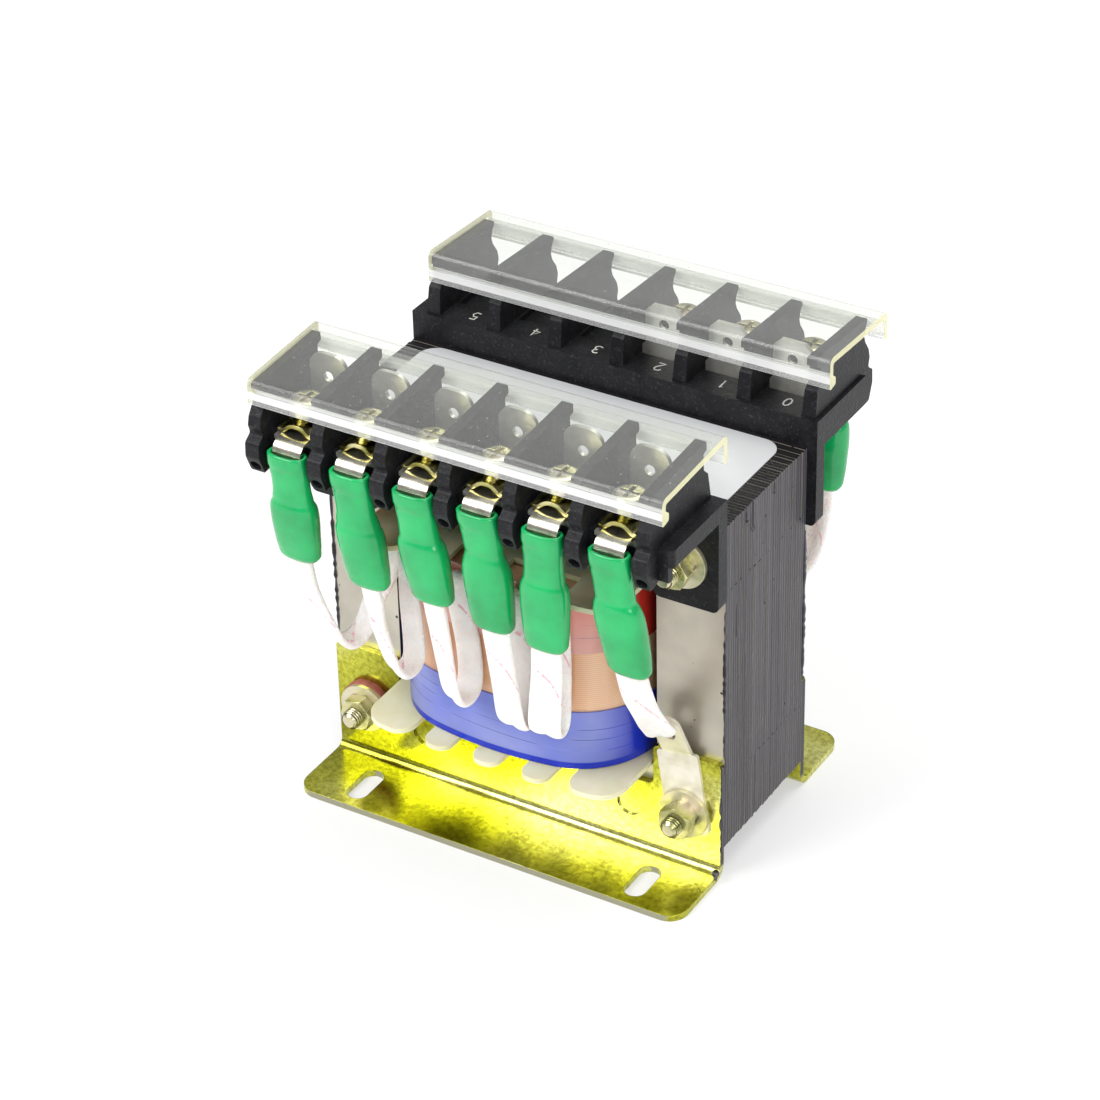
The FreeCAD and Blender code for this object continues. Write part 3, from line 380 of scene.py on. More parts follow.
def moulded(name, light, dark, roughness, cloud_mm, depth, soft=0.0, shine=0.5, scuff=0.0):
    """Moulded plastic: two close shades in clouds, fine skin texture, some light under the
    surface. The real skin is finer, and is drawn as coarse as it needs to show."""
    made, tree, place = new_material(name)
    cloud = add(tree, "ShaderNodeTexNoise", {
        "Vector": place["Object"], "Scale": cells(cloud_mm), "Detail": 4.0})
    shade = add(tree, "ShaderNodeValToRGB", {"Fac": cloud}, [(0.3, dark), (0.7, light)])
    skin = add(tree, "ShaderNodeTexNoise", {
        "Vector": place["Object"], "Scale": cells(SKIN), "Detail": 3.0})
    relief = add(tree, "ShaderNodeBump", {"Height": skin, "Strength": depth, "Distance": 0.1 * MM})
    rubbed = add(tree, "ShaderNodeTexNoise", {
        "Vector": place["Object"], "Scale": cells(SKIN), "Detail": 6.0, "Roughness": 0.8})
    worn = add(tree, "ShaderNodeValToRGB", {"Fac": rubbed}, [(0.56, 0.0), (0.72, scuff)])
    used = add(tree, "ShaderNodeMix", {
        0: worn, COLOUR_A: shade, COLOUR_B: "#8A8A8E"}, data_type="RGBA")
    body = add(tree, "ShaderNodeBsdfPrincipled", {
        "Base Color": used.outputs[MIXED], "Normal": relief, "Roughness": roughness,
        "Specular IOR Level": shine, "Subsurface Weight": soft, "Subsurface Scale": 2 * MM})
    add(tree, "ShaderNodeOutputMaterial", {"Surface": body})
    return made


BLOCK = moulded("moulded dark polyester", "#1E1E22", "#101012", 0.42, 3.85, 1.0, 0.0, 0.22, 0.3)
NYLON = moulded("natural nylon", "#ECEACB", "#D8D6A8", 0.4, 11.1, 0.2, 0.3)
PVC = moulded("soft green PVC", "#17B765", "#0E9852", 0.12, 9.09, 0.06, 0.05, 0.6)
# Fibre is cut from a pressed sheet, matt and dull red. The numbers are printed with a soft pad
# in thick white ink. The label's film is rolled smooth, with an even silver gloss.
FIBRE = moulded("red vulcanised fibre", "#B46C64", "#833D35", 0.6, 2.5, 0.6)
PRINT = moulded("white pad print", "#D8D8D2", "#A9A9A2", 0.6, 1.43, 0.3)
LABEL = moulded("silver polyester film", "#CDCECD", "#BCBEC3", 0.3, 83.3, 0.03)
print("plastics ready")

# %% Clear cover and film
LIP_LOW = 101.9
LIP_HIGH = 109.4
# Share of the lip's height, and how white the bent sheet is painted there: partly its own
# whitening at the bead and the bends, partly painted highlight.
LIP_WHITENING_AND_HIGHLIGHT = ((0.0, 0.7), (0.05, 0.7), (0.07, 0.2), (0.2, 0.2), (0.22, 0.68), (0.43, 0.6),
             (0.46, 0.05), (0.82, 0.03), (0.9, 0.12), (1.0, 0.05))


def skin_of_light(tree, least):
    """Share of light that a clear skin reflects: least face on, all of it at a grazing angle."""
    facing = add(tree, "ShaderNodeLayerWeight", {"Blend": 0.5})
    sharp = add(tree, "ShaderNodeMath", {0: facing.outputs["Facing"], 1: 4.0}, operation="POWER")
    return add(tree, "ShaderNodeMapRange", {"Value": sharp, "To Min": least, "To Max": 1.0})


def clear_sheet(name, tint, haze, roughness, edge, lip=()):
    """Thin clear sheet: see-through, a reflecting skin, dust and flecks, tinted cut ends, and
    white bands on a lip, partly the bent sheet's own whitening and partly painted highlight."""
    made, tree, place = new_material(name)
    scratch = add(tree, "ShaderNodeTexNoise", {
        "Vector": place["Object"], "Scale": cells(0.769), "Detail": 5.0, "Roughness": 0.7})
    dust = add(tree, "ShaderNodeMapRange", {"Value": scratch, "From Min": 0.4, "From Max": 0.7,
        "To Min": 0.9 * haze, "To Max": 1.4 * haze})
    flecks = add(tree, "ShaderNodeTexVoronoi", {"Vector": place["Object"], "Scale": cells(2.38)})
    points = add(tree, "ShaderNodeValToRGB", {"Fac": flecks}, [
        (0.0, 6 * haze), (0.05, 4 * haze), (0.1, 0.0)])
    dirty = add(tree, "ShaderNodeMath", {0: dust, 1: points}, operation="ADD", use_clamp=True)
    through = add(tree, "ShaderNodeBsdfTransparent", {"Color": tint})
    skin = add(tree, "ShaderNodeBsdfGlossy", {"Color": "#FFFFFF", "Roughness": roughness})
    milk = add(tree, "ShaderNodeBsdfDiffuse", {"Color": "#FFFFFF"})
    rim = add(tree, "ShaderNodeBsdfDiffuse", {"Color": edge})
    clear = add(tree, "ShaderNodeMixShader", {0: skin_of_light(tree, 0.015), 1: through, 2: skin})
    cloudy = add(tree, "ShaderNodeMixShader", {0: dirty, 1: clear, 2: milk})
    if lip:
        # Painted highlight and whitening: white bands across the lip's faces that look along Y.
        height = height_mask(tree, place, LIP_LOW, LIP_HIGH)
        lip_whitening_and_highlight = add(tree, "ShaderNodeMath", {
            0: side_mask(tree, place, "Y", 0.5, 0.8),
            1: add(tree, "ShaderNodeValToRGB", {"Fac": height}, lip)}, operation="MULTIPLY")
        cloudy = add(tree, "ShaderNodeMixShader", {0: lip_whitening_and_highlight, 1: cloudy, 2: milk})
    ends = add(tree, "ShaderNodeMath", {
        0: side_mask(tree, place, "X", 0.8, 0.95), 1: 0.8}, operation="MULTIPLY")
    mix = add(tree, "ShaderNodeMixShader", {0: ends, 1: cloudy, 2: rim})
    add(tree, "ShaderNodeOutputMaterial", {"Surface": mix})
    return made


COVER = clear_sheet("clear polystyrene sheet", "#FAFBF8", 0.045, 0.05, "#EFECC0", LIP_WHITENING_AND_HIGHLIGHT)
FILM = clear_sheet("clear polyester film", "#FBF5EC", 0.03, 0.08, "#D9C4A8")
print("clear sheet and film ready")

# %% Coloured tapes
LAP_SLOPE = 0.035
LAP_HALF = 0.014


def lighter(code):
    """The same colour, a fifth of the way to white."""
    return tuple(0.8 * v + 0.2 for v in colour(code)[:3]) + (1.0,)


def tape(name, body, strong, deep, cover, low_mm, high_mm, solid_from, solid_to, lines):
    """Clear coloured tape: a band of its height is solid, and thin dark lines, a little
    aslant, are its lap edges. The faces that look sideways are painted a deeper colour and
    denser: painted shade, where the tape turns into the dark gap beside the core."""
    made, tree, place = new_material(name)
    split = add(tree, "ShaderNodeSeparateXYZ", {"Vector": place["Object"]})
    slope = add(tree, "ShaderNodeMath", {0: split.outputs["X"], 1: LAP_SLOPE}, operation="MULTIPLY")
    level = add(tree, "ShaderNodeMath", {0: split.outputs["Z"], 1: slope}, operation="ADD")
    reach = {"From Min": low_mm * MM, "From Max": high_mm * MM}
    height = add(tree, "ShaderNodeMapRange", {"Value": split.outputs["Z"], **reach})
    laps = add(tree, "ShaderNodeMapRange", {"Value": level, **reach})
    stops = [(0.0, 0.0)]
    for line in lines:
        stops += [(line - LAP_HALF, 0.0), (line, 1.0), (line + LAP_HALF, 0.0)]
    fine = add(tree, "ShaderNodeValToRGB", {"Fac": laps}, stops)
    wear = add(tree, "ShaderNodeTexNoise", {
        "Vector": place["Object"], "Scale": cells(16.7), "Detail": 3.0})
    there = add(tree, "ShaderNodeValToRGB", {"Fac": wear}, [(0.36, 0.1), (0.5, 1.0)])
    thin = add(tree, "ShaderNodeMath", {0: fine, 1: there}, operation="MULTIPLY")
    band = add(tree, "ShaderNodeValToRGB", {"Fac": height}, [
        (0.0, float(solid_from == 0.0)), (max(solid_from, 0.01), 1.0), (solid_to, 1.0),
        (solid_to + 0.02, 0.0)])
    pale = add(tree, "ShaderNodeValToRGB", {"Fac": wear}, [(0.35, body), (0.7, lighter(body))])
    shade = add(tree, "ShaderNodeMix", {
        0: band, COLOUR_A: pale, COLOUR_B: strong}, data_type="RGBA")
    lined = add(tree, "ShaderNodeMix", {
        0: thin, COLOUR_A: shade.outputs[MIXED], COLOUR_B: "#2A2E66"}, data_type="RGBA")
    # Painted shade: faces that look along X get the deep colour and full cover.
    shaded_sides = side_mask(tree, place, "X", 0.6, 0.92)
    turned = add(tree, "ShaderNodeMix", {
        0: shaded_sides, COLOUR_A: lined.outputs[MIXED], COLOUR_B: deep}, data_type="RGBA")
    full = add(tree, "ShaderNodeMath", {0: band, 1: shaded_sides}, operation="MAXIMUM")
    dense = add(tree, "ShaderNodeMapRange", {"Value": full, "To Min": cover, "To Max": 0.95})
    total = add(tree, "ShaderNodeMath", {0: dense, 1: thin}, operation="ADD", use_clamp=True)
    skin = add(tree, "ShaderNodeBsdfPrincipled", {
        "Base Color": turned.outputs[MIXED], "Roughness": 0.14})
    through = add(tree, "ShaderNodeBsdfTransparent", {"Color": body})
    mix = add(tree, "ShaderNodeMixShader", {0: total, 1: through, 2: skin})
    add(tree, "ShaderNodeOutputMaterial", {"Surface": mix})
    return made


# The fourth colour of each tape is its painted shade on the faces that look sideways.
BLUE = tape("blue polyester tape", "#8F9EF4", "#0A2CBC", "#2236BE", 0.6, 24.9, 39.3, 0.0, 0.1,
            (0.36, 0.56, 0.74))
RED = tape("red polyester tape", "#FFCFC4", "#F09C92", "#A82A20", 0.6, 54.0, 69.7, 0.62, 0.97,
           (0.3, 0.5))
print("tapes ready")

# %% Copper wire and leads
WIRE_PITCH = 0.5
TRACER_TURN = 26.3
WEAVE = 0.588


def wound_copper(name, film):
    """Enamelled wire in even turns; film is the weight of a clear skin over it."""
    made, tree, place = new_material(name)
    turns = add(tree, "ShaderNodeTexWave", {
        "Vector": place["Object"], "Scale": bands(WIRE_PITCH), "Distortion": 0.3},
        bands_direction="Z")
    upright = add(tree, "ShaderNodeMapping", {
        "Vector": place["Object"], "Scale": (cells(16.7), cells(16.7), cells(111))})
    cloud = add(tree, "ShaderNodeTexNoise", {"Vector": upright, "Scale": 1.0, "Detail": 3.0})
    shade = add(tree, "ShaderNodeValToRGB", {"Fac": cloud}, [
        (0.3, "#BE8660"), (0.5, "#DDA87E"), (0.7, "#F3CDA8")])
    shadow = add(tree, "ShaderNodeValToRGB", {"Fac": turns.outputs["Fac"]}, [
        (0.0, (0.7, 0.66, 0.62, 1)), (0.5, 1.0)])
    mix = add(tree, "ShaderNodeMix", {
        0: 0.6, COLOUR_A: shade, COLOUR_B: shadow}, data_type="RGBA", blend_type="MULTIPLY")
    relief = add(tree, "ShaderNodeBump", {
        "Height": turns.outputs["Fac"], "Strength": 0.25, "Distance": 0.1 * MM})
    metal = add(tree, "ShaderNodeBsdfPrincipled", {
        "Base Color": mix.outputs[MIXED], "Normal": relief, "Metallic": 0.1, "Roughness": 0.4,
        "Coat Weight": film, "Coat Roughness": 0.12})
    add(tree, "ShaderNodeOutputMaterial", {"Surface": metal})
    return made


def lead_sleeve():
    """White woven sleeve with a pink tracer that winds round it and shows in places. U
    runs round the lead, V along it in centimetres. The weave is drawn coarser than it is."""
    made, tree, place = new_material("white woven sleeving")
    along = add(tree, "ShaderNodeSeparateXYZ", {"Vector": place["UV"]})
    climb = add(tree, "ShaderNodeMath", {
        0: along.outputs["Y"], 1: 10 / TRACER_TURN}, operation="MULTIPLY")
    phase = add(tree, "ShaderNodeMath", {0: climb, 1: along.outputs["X"]}, operation="ADD")
    loop = add(tree, "ShaderNodeMath", {0: phase}, operation="FRACT")
    trace = add(tree, "ShaderNodeValToRGB", {"Fac": loop}, [
        (0.0, 1.0), (0.03, 1.0), (0.045, 0.0), (1.0, 0.0)])
    patch = add(tree, "ShaderNodeTexNoise", {"Vector": place["Object"], "Scale": cells(1.11)})
    part = add(tree, "ShaderNodeValToRGB", {"Fac": patch}, [(0.42, 0.0), (0.55, 1.0)])
    pink = add(tree, "ShaderNodeMath", {0: trace, 1: part}, operation="MULTIPLY")
    cloud = add(tree, "ShaderNodeTexNoise", {
        "Vector": place["Object"], "Scale": cells(6.25), "Detail": 4.0})
    white = add(tree, "ShaderNodeValToRGB", {"Fac": cloud}, [(0.35, "#F1ECE8"), (0.6, "#FCFAF8")])
    mix = add(tree, "ShaderNodeMix", {
        0: pink, COLOUR_A: white, COLOUR_B: "#EDBBC6"}, data_type="RGBA")
    weave = add(tree, "ShaderNodeTexVoronoi", {"Vector": place["Object"], "Scale": cells(WEAVE)})
    relief = add(tree, "ShaderNodeBump", {"Height": weave, "Strength": 0.6, "Distance": 0.3 * MM})
    cloth = add(tree, "ShaderNodeBsdfPrincipled", {
        "Base Color": mix.outputs[MIXED], "Normal": relief, "Roughness": 0.7,
        "Subsurface Weight": 0.25, "Subsurface Scale": 1.5 * MM})
    add(tree, "ShaderNodeOutputMaterial", {"Surface": cloth})
    return made


COPPER = wound_copper("enamelled copper wire", 0.0)
WRAPPED = wound_copper("enamelled copper wire under clear film", 0.8)
WOVEN = lead_sleeve()
print("copper and sleeving ready")

# %% [markdown]
# ## Finishes for the CAD nodes
# Where the CAD solid already has the right shape, it keeps its mesh and gets a material. The
# outer film clings to the wire without a gap, so what the eye sees is the wire with a gloss.

# %% Dress the CAD nodes
finishes = {
    "front_bracket": ZINC_SHEET, "rear_bracket": ZINC_SHEET, "core_bolts": ZINC,
    "bolt_nuts": NUT_ZINC, "flat_washers": WASHER_ZINC, "spring_washers": ZINC,
    "front_terminal_screws": ZINC, "rear_terminal_screws": ZINC,
    "front_screw_washers": GOLDEN_ZINC, "rear_screw_washers": GOLDEN_ZINC,
    "fibre_washer": FIBRE, "earth_tag": TAG_TIN, "front_ring_terminals": BRIGHT_TIN,
    "rear_ring_terminals": BRIGHT_TIN, "front_terminal_plates": TIN,
    "rear_terminal_plates": TIN, "front_terminal_block": BLOCK, "rear_terminal_block": BLOCK,
    "bobbin": NYLON, "primary_winding": COPPER, "secondary_winding": COPPER,
    "interlayer_insulation": FILM, "outer_wrap_film": WRAPPED, "blue_tape": BLUE,
    "red_tape": RED, "front_cover": COVER, "rear_cover": COVER, "name_label": LABEL,
}
for node, finish in finishes.items():
    target = bpy.data.objects[node]
    target.data.materials.clear()
    target.data.materials.append(finish)
print("dressed", len(finishes))

# %% [markdown]
# ## The stack of sheets
# A real core this deep has about seventy sheets of half a millimetre, never quite flush, with
# varnish in the gaps. Here they are 35 pairs: each pair is an E and an I, extruded from their
# outlines, with the E turned up and down by turns and each pair shifted by a few hundredths.
# A thin slab of varnish fills each gap, a little below the edges, so no light shows through.
# The varnish was brushed on: it stands in a bead along the corners and ran in a few drips.

# %% Core sheets
CORE_LIFT = 7.3
CORE_WIDTH = 96.0
LEG = CORE_WIDTH / 6
CORE_HEIGHT = LEG * 5
STACK = 35.0
PAIRS = int(STACK / PAIR_THICK)
GAP = 0.12
GAP_DEEP = 1.5
JOINT = 0.02
RING = 10


def core_outlines(inset, joint):
    """Corners (x, z) of an E and of the I above it, their edges moved in by the inset."""
    side, top = CORE_WIDTH / 2 - inset, CORE_HEIGHT - LEG + inset
    window, middle = CORE_WIDTH / 2 - LEG + inset, LEG - inset
    low, high = top + joint, CORE_HEIGHT - inset
    e_sheet = [(-side, inset), (side, inset), (side, top), (window, top), (window, middle),
               (middle, middle), (middle, top), (-middle, top), (-middle, middle),
               (-window, middle), (-window, top), (-side, top)]
    i_sheet = [(-side, low), (side, low), (side, high), (-side, high)]
    return np.array(e_sheet), np.array(i_sheet)


def sheet_prism(outline, y_low, y_high):
    """Prism of one outline (x, z): two flat ends and a side wall for each edge."""
    count = len(outline)
    ends = [np.column_stack([outline[:, 0], np.full(count, y), outline[:, 1]])
            for y in (y_low, y_high)]
    turn = np.arange(count)
    after = (turn + 1) % count
    walls = np.stack([after, turn, turn + count, after + count], -1)
    return np.vstack(ends), [np.stack([turn, turn[::-1] + count]), walls]


def varnish_run(x, y, z_low, z_high, thick, drop):
    """Ring along a height whose radius wanders at random; drop swells its lower end."""
    rows = 3 * int(z_high - z_low) + 6
    share = np.linspace(0, 1, rows)[:, None]
    angle = np.linspace(0, 2 * np.pi, RING, endpoint=False)[None, :]
    knots = np.linspace(0, 1, rows // 3)
    wander = np.interp(share[:, 0], knots, chance.uniform(0.45, 1.25, len(knots)))[:, None]
    taper = np.clip(4 * share * (1 - share) + 0.02, 0, 1) ** 0.25
    radius = thick * wander * taper + drop * np.exp(-((share - 0.12) / 0.08) ** 2)
    ring = np.stack([x + radius * np.cos(angle), y + radius * np.sin(angle),
                     z_low + (z_high - z_low) * share + 0 * angle], -1).reshape(-1, 3)
    turn = np.arange(RING)
    return ring, [grid_faces(rows, RING), np.stack([turn[::-1], turn + (rows - 1) * RING])]


# %% Stack the pairs and fill their gaps
half, edge = CORE_WIDTH / 2, STACK / 2
lift = np.array([0.0, CORE_LIFT])
shapes, parts = [], []
for pair in range(PAIRS):
    last = PAIRS - 1
    low = -edge + pair * PAIR_THICK + (GAP / 2 if pair > 0 else 0)
    high = -edge + (pair + 1) * PAIR_THICK - (GAP / 2 if pair < last else 0)
    for outline in core_outlines(0.0, JOINT):
        if pair % 2:
            outline = np.column_stack([-outline[:, 0], CORE_HEIGHT - outline[:, 1]])
        shift = np.clip(chance.normal(0, 0.05, 2), -0.1, 0.1)
        flush = pair in (0, last)
        shapes.append(sheet_prism(outline + lift + (0.0 if flush else shift), low, high))
        parts += [1, 1] + [0] * len(outline)
for gap in range(1, PAIRS):
    level = -edge + gap * PAIR_THICK
    for outline in core_outlines(GAP_DEEP, 0.0):
        shapes.append(sheet_prism(outline + lift, level - GAP / 2, level + GAP / 2))

# Each run has a place (x, y), a low and a high end, a thickness and the size of its drop.
runs = [(x, y, 30.0, 67.0, 0.42, 0.0) for x in (-half, half) for y in (-edge, edge)]
runs += [(half, -6.0, 80.0, 87.0, 0.25, 0.35), (half, -8.5, 83.5, 87.1, 0.3, 0.3),
         (half, 3.0, 84.0, 87.0, 0.25, 0.2), (half, -12.5, 58.0, 66.0, 0.16, 0.1),
         (half, -edge - 1.2, 4.5, 28.0, 0.4, 0.0), (half, -edge - 3.6, 0.8, 3.6, 0.75, 0.0),
         (half, -edge - 0.6, 26.5, 29.0, 0.6, 0.0)]
shapes += [varnish_run(*run) for run in runs]
sheets = mesh_piece("core_sheets", shapes, [VARNISH, SHEET], smooth=False,
                    parts=parts)
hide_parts("core_e_laminations", "core_i_laminations")
print("pairs of sheets", PAIRS, "faces", len(sheets.data.polygons))

# %% [markdown]
# ## Screw threads
# The bolts have an M4 thread: pitch 0.7 mm. A thread is a surface of two parameters, the turn
# and the height, whose radius rises and falls once per pitch and is shifted by one pitch per
# turn. It is wrapped round the plain CAD shank where the bolt stands out of its nut. Faces in
# the root get a darker zinc: painted shade in the groove.

# %% Threads on the bolt tips
PITCH = 0.7
ROOT_RADIUS = 1.96
CREST_RADIUS = 2.3
THREAD_POINTS = 28
# Bolt (x, z), then where it leaves its nut and where its tip is (y).
BOLT_TIPS = ((-40, 15.3, -24.7, -27.1), (40, 15.3, -25.0, -27.1),
             (-40, 78.8, -26.2, -29.1), (40, 78.8, -26.2, -29.1))


def thread_surface(x, z, y_nut, y_tip):
    """Helical ridge round a shank along Y: radius = root + ridge * triangle(height / pitch -
    turn). The ridge fades at both ends. Also says which faces lie in the root, where a darker
    zinc paints the shade of the groove."""
    rows = int(abs(y_tip - y_nut) / PITCH * 8) + 1
    height = np.linspace(0, abs(y_tip - y_nut), rows)[:, None]
    angle = np.linspace(0, 2 * np.pi, THREAD_POINTS, endpoint=False)[None, :]
    phase = (height / PITCH - angle / (2 * np.pi)) % 1.0
    ridge = 1.0 - np.abs(phase * 2.0 - 1.0)
    fade = np.clip(np.minimum(height, height[-1] - height) / 0.3, 0, 1)
    radius = ROOT_RADIUS + (CREST_RADIUS - ROOT_RADIUS) * ridge * fade
    shape = np.stack([x + radius * np.cos(angle), y_nut - height + 0 * angle,
                      z + radius * np.sin(angle)], -1)
    shaded_root_faces = (ridge[:-1] < 0.4).ravel().astype(int)
    return (shape.reshape(-1, 3), [grid_faces(rows, THREAD_POINTS)]), shaded_root_faces.tolist()


tips = [thread_surface(*tip) for tip in BOLT_TIPS]
threads = mesh_piece("bolt_threads", [shape for shape, roots in tips],
                     [ZINC, THREAD_ROOT_SHADE], parts=sum([roots for shape, roots in tips], []))
print("thread points", len(threads.data.vertices))

# %% [markdown]
# ## Green sleeves
# A soft sleeve is pulled over each crimp. It bulges over the crimp, has a waist above it and
# a rolled lower end. Its section is a rounded oval whose width, depth and place change with
# the height, so it is one surface of two parameters, out, round the rim and back inside.

# %% Sleeves
POLE_PITCH = 15.2
POLE_FIRST = -40.2
SLEEVE_LINE = 42.7
SLEEVE_TOP = 92.0
SLEEVE_LEAN_OUT = 2.6
WALL = 0.8
SLEEVE_LONG = 28.0
# Width and depth of a sleeve at each of these distances below its top.
SLEEVE_FALL = np.array([0.0, 1.5, 6.5, 10.0, 13.5, 17.0, 20.5, 25.5, 27.4, SLEEVE_LONG])
SLEEVE_WIDE = np.array([9.0, 9.3, 8.7, 8.9, 10.6, 10.9, 10.5, 9.8, 9.1, 8.2])
SLEEVE_DEEP = np.array([4.7, 5.0, 4.5, 4.8, 6.1, 6.3, 6.2, 5.3, 4.6, 3.9])
FOLDS = np.array([11.6, 4.0])
SLEEVE_ROWS = 70
AROUND = 40
# Each sleeve leans sideways by so much, and hangs down so far.
FRONT_SLEEVES = [(0.0, 26.5), (1.8, 27.8), (2.2, 26.7), (1.8, 28.5), (-1.2, 29.4), (2.8, 29.1)]
REAR_SLEEVES = [(0.0, 28.0), (1.0, 28.0), (1.0, 28.0)]


def smooth_between(x, xs, ys):
    """Values on a cubic through given points, with each point's slope from its neighbours."""
    k = np.clip(np.searchsorted(xs, x, side="right") - 1, 0, len(xs) - 2)
    slopes = np.gradient(ys, xs)
    width = xs[k + 1] - xs[k]
    t = (x - xs[k]) / width
    return ((2 * t ** 3 - 3 * t ** 2 + 1) * ys[k] + (t ** 3 - 2 * t ** 2 + t) * width * slopes[k]
            + (3 * t ** 2 - 2 * t ** 3) * ys[k + 1] + (t ** 3 - t ** 2) * width * slopes[k + 1])


def sleeve_surface(x, lean_x, drop, seed):
    """Oval section: |cos|^0.75 and |sin|^0.8 of the angle, times half width and half depth.
    Two folds are bell-shaped dents of the width and depth at their own heights."""
    angle = np.linspace(0, 2 * np.pi, AROUND, endpoint=False)
    cosine, sine = np.cos(angle), np.sin(angle)
    oval_x = np.sign(cosine) * np.abs(cosine) ** 0.75
    oval_y = np.sign(sine) * np.abs(sine) ** 0.8
    fall = np.linspace(0, SLEEVE_LONG, SLEEVE_ROWS)
    wave = np.random.default_rng(seed)
    sway = wave.normal(0, 0.12, 2)
    folds = FOLDS + wave.normal(0, 0.7, 2)
    dent = (0.55 * np.exp(-((fall - folds[0]) / 0.8) ** 2)
            + 0.3 * np.exp(-((fall - folds[1]) / 0.7) ** 2))
    wide = smooth_between(fall, SLEEVE_FALL, SLEEVE_WIDE) - 0.7 * dent
    deep = smooth_between(fall, SLEEVE_FALL, SLEEVE_DEEP) - dent
    part = fall / SLEEVE_LONG
    middle_x = x + lean_x * part + sway[0] * np.sin(part * 5.0)
    middle_y = -SLEEVE_LINE + SLEEVE_LEAN_OUT * part + sway[1] * np.sin(part * 4.0)
    shells = []
    for inset in (0.0, WALL):
        xs = middle_x[:, None] + (wide / 2 - inset)[:, None] * oval_x[None, :]
        ys = middle_y[:, None] + (deep / 2 - inset)[:, None] * oval_y[None, :]
        zs = SLEEVE_TOP - (fall * drop / SLEEVE_LONG)[:, None] + 0 * xs
        shells.append(np.stack([xs, ys, zs], -1))
    outer, inner = shells
    rim_top = (outer[0] + inner[0]) / 2 + np.array([0, 0, 0.25])
    rim_low = (outer[-1] + inner[-1]) / 2 - np.array([0, 0, 0.3])
    loop = np.concatenate([outer, rim_low[None], inner[::-1], rim_top[None]])
    # The rows run downwards, so the quads are turned over to face outwards.
    quads = grid_faces(len(loop), AROUND, closed=True)[:, [0, 3, 2, 1]]
    return loop.reshape(-1, 3), [quads]


# The rear row is the front row turned half round the upright axis.
for side, row, turned in (("front", FRONT_SLEEVES, 1), ("rear", REAR_SLEEVES, HALF_TURN)):
    shapes = []
    for k, (lean_x, drop) in enumerate(row):
        made, quads = sleeve_surface(POLE_FIRST + k * POLE_PITCH, lean_x, drop, k + 3)
        shapes.append((made * turned, quads))
    sleeves = mesh_piece(side + "_soft_sleeves", shapes, [PVC])
    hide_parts(side + "_sleeves")
print("sleeves", len(FRONT_SLEEVES) + len(REAR_SLEEVES))

# %% [markdown]
# ## Flat leads
# Each lead leaves its crimp, hangs down inside the sleeve, folds round in a U and climbs to
# the winding. Its middle line is one smooth spline, steered by the points of the CAD route.
# The flat section is carried along that line, and turned a little about it on the way.

# %% Lead routes
START_DROP = 17.0
BELOW_SLEEVE = 5.0
LEAD_THICK = 1.9
LEAD_WIDE = (4.9, 5.0, 5.6, 7.0, 7.6, 7.4)
REAR_WIDE = (6.2, 6.2, 6.2)
# Turn of the flat section in degrees, and how far it is pinched, at even steps along a lead.
TWISTS = ((0, 0, 20, 30, 20, 0), (0, 5, 25, 30, 10, 0), (0, 5, 20, 25, 15, 0),
          (0, 0, 6, 4, 0, 0), (0, 0, -4, 0, 0, 0), (0, 0, 0, -10, -20))
REAR_TWISTS = ((0, 0, 15, 20, 10, 0),) * 3
PINCHES = ((0.95, 0.95, 0.95, 1.0, 0.95, 0.95, 1.0),) * 5 + ((0.95, 1.0, 1.1, 1.05, 0.85),)
REAR_PINCHES = ((0.95, 1.0, 0.95),) * 3
front_routes = [
    [(-36.6, -39.9, 53.5), (-31.9, -39.2, 45.4), (-30.6, -33.0, 45.6), (-28.6, -31.4, 53.8),
     (-25.0, -29.8, 61.4), (-23.0, -29.6, 68.3)],
    [(-20.9, -39.9, 50.9), (-18.2, -39.2, 42.4), (-17.4, -33.2, 42.4), (-17.9, -32.9, 51.0),
     (-18.7, -32.7, 59.6), (-18.9, -31.5, 68.3)],
    [(-5.7, -39.7, 49.8), (-4.5, -39.2, 40.0), (-3.9, -33.2, 39.8), (-3.8, -32.9, 49.0),
     (-5.6, -32.9, 59.0), (-7.4, -32.9, 68.3)],
    [(8.6, -39.2, 47.8), (9.3, -38.6, 38.2), (9.4, -33.9, 38.0), (9.4, -32.8, 46.0),
     (9.0, -32.6, 57.6), (8.4, -32.9, 68.3)],
    [(18.0, -39.0, 48.0), (16.9, -38.2, 38.4), (16.8, -33.6, 38.2), (16.7, -32.6, 46.0),
     (16.4, -31.8, 57.4), (15.9, -32.1, 68.3)],
    [(41.2, -35.2, 47.9), (38.2, -27.4, 40.2), (35.7, -22.95, 36.2)],
]
rear_routes = [
    [(-39.0, -39.6, 50.5), (-36.6, -38.8, 42.4), (-35.0, -33.2, 42.4), (-31.0, -31.6, 50.4),
     (-26.2, -30.4, 59.4), (-23.0, -29.6, 68.3)],
    [(-22.6, -39.6, 50.5), (-21.2, -38.8, 42.0), (-20.4, -33.0, 42.0), (-18.4, -32.6, 51.0),
     (-15.0, -32.2, 60.4), (-12.6, -32.4, 68.3)],
    [(-7.4, -39.6, 50.0), (-6.0, -39.0, 41.4), (-5.6, -33.2, 41.4), (-4.6, -32.9, 50.0),
     (-3.6, -32.9, 60.0), (-3.0, -32.9, 68.3)],
]


def sleeve_point(x, lean_x, drop, z):
    """Middle line of a sleeve at a height."""
    part = (SLEEVE_TOP - z) / drop
    return (x + lean_x * part, -SLEEVE_LINE + SLEEVE_LEAN_OUT * part, z)


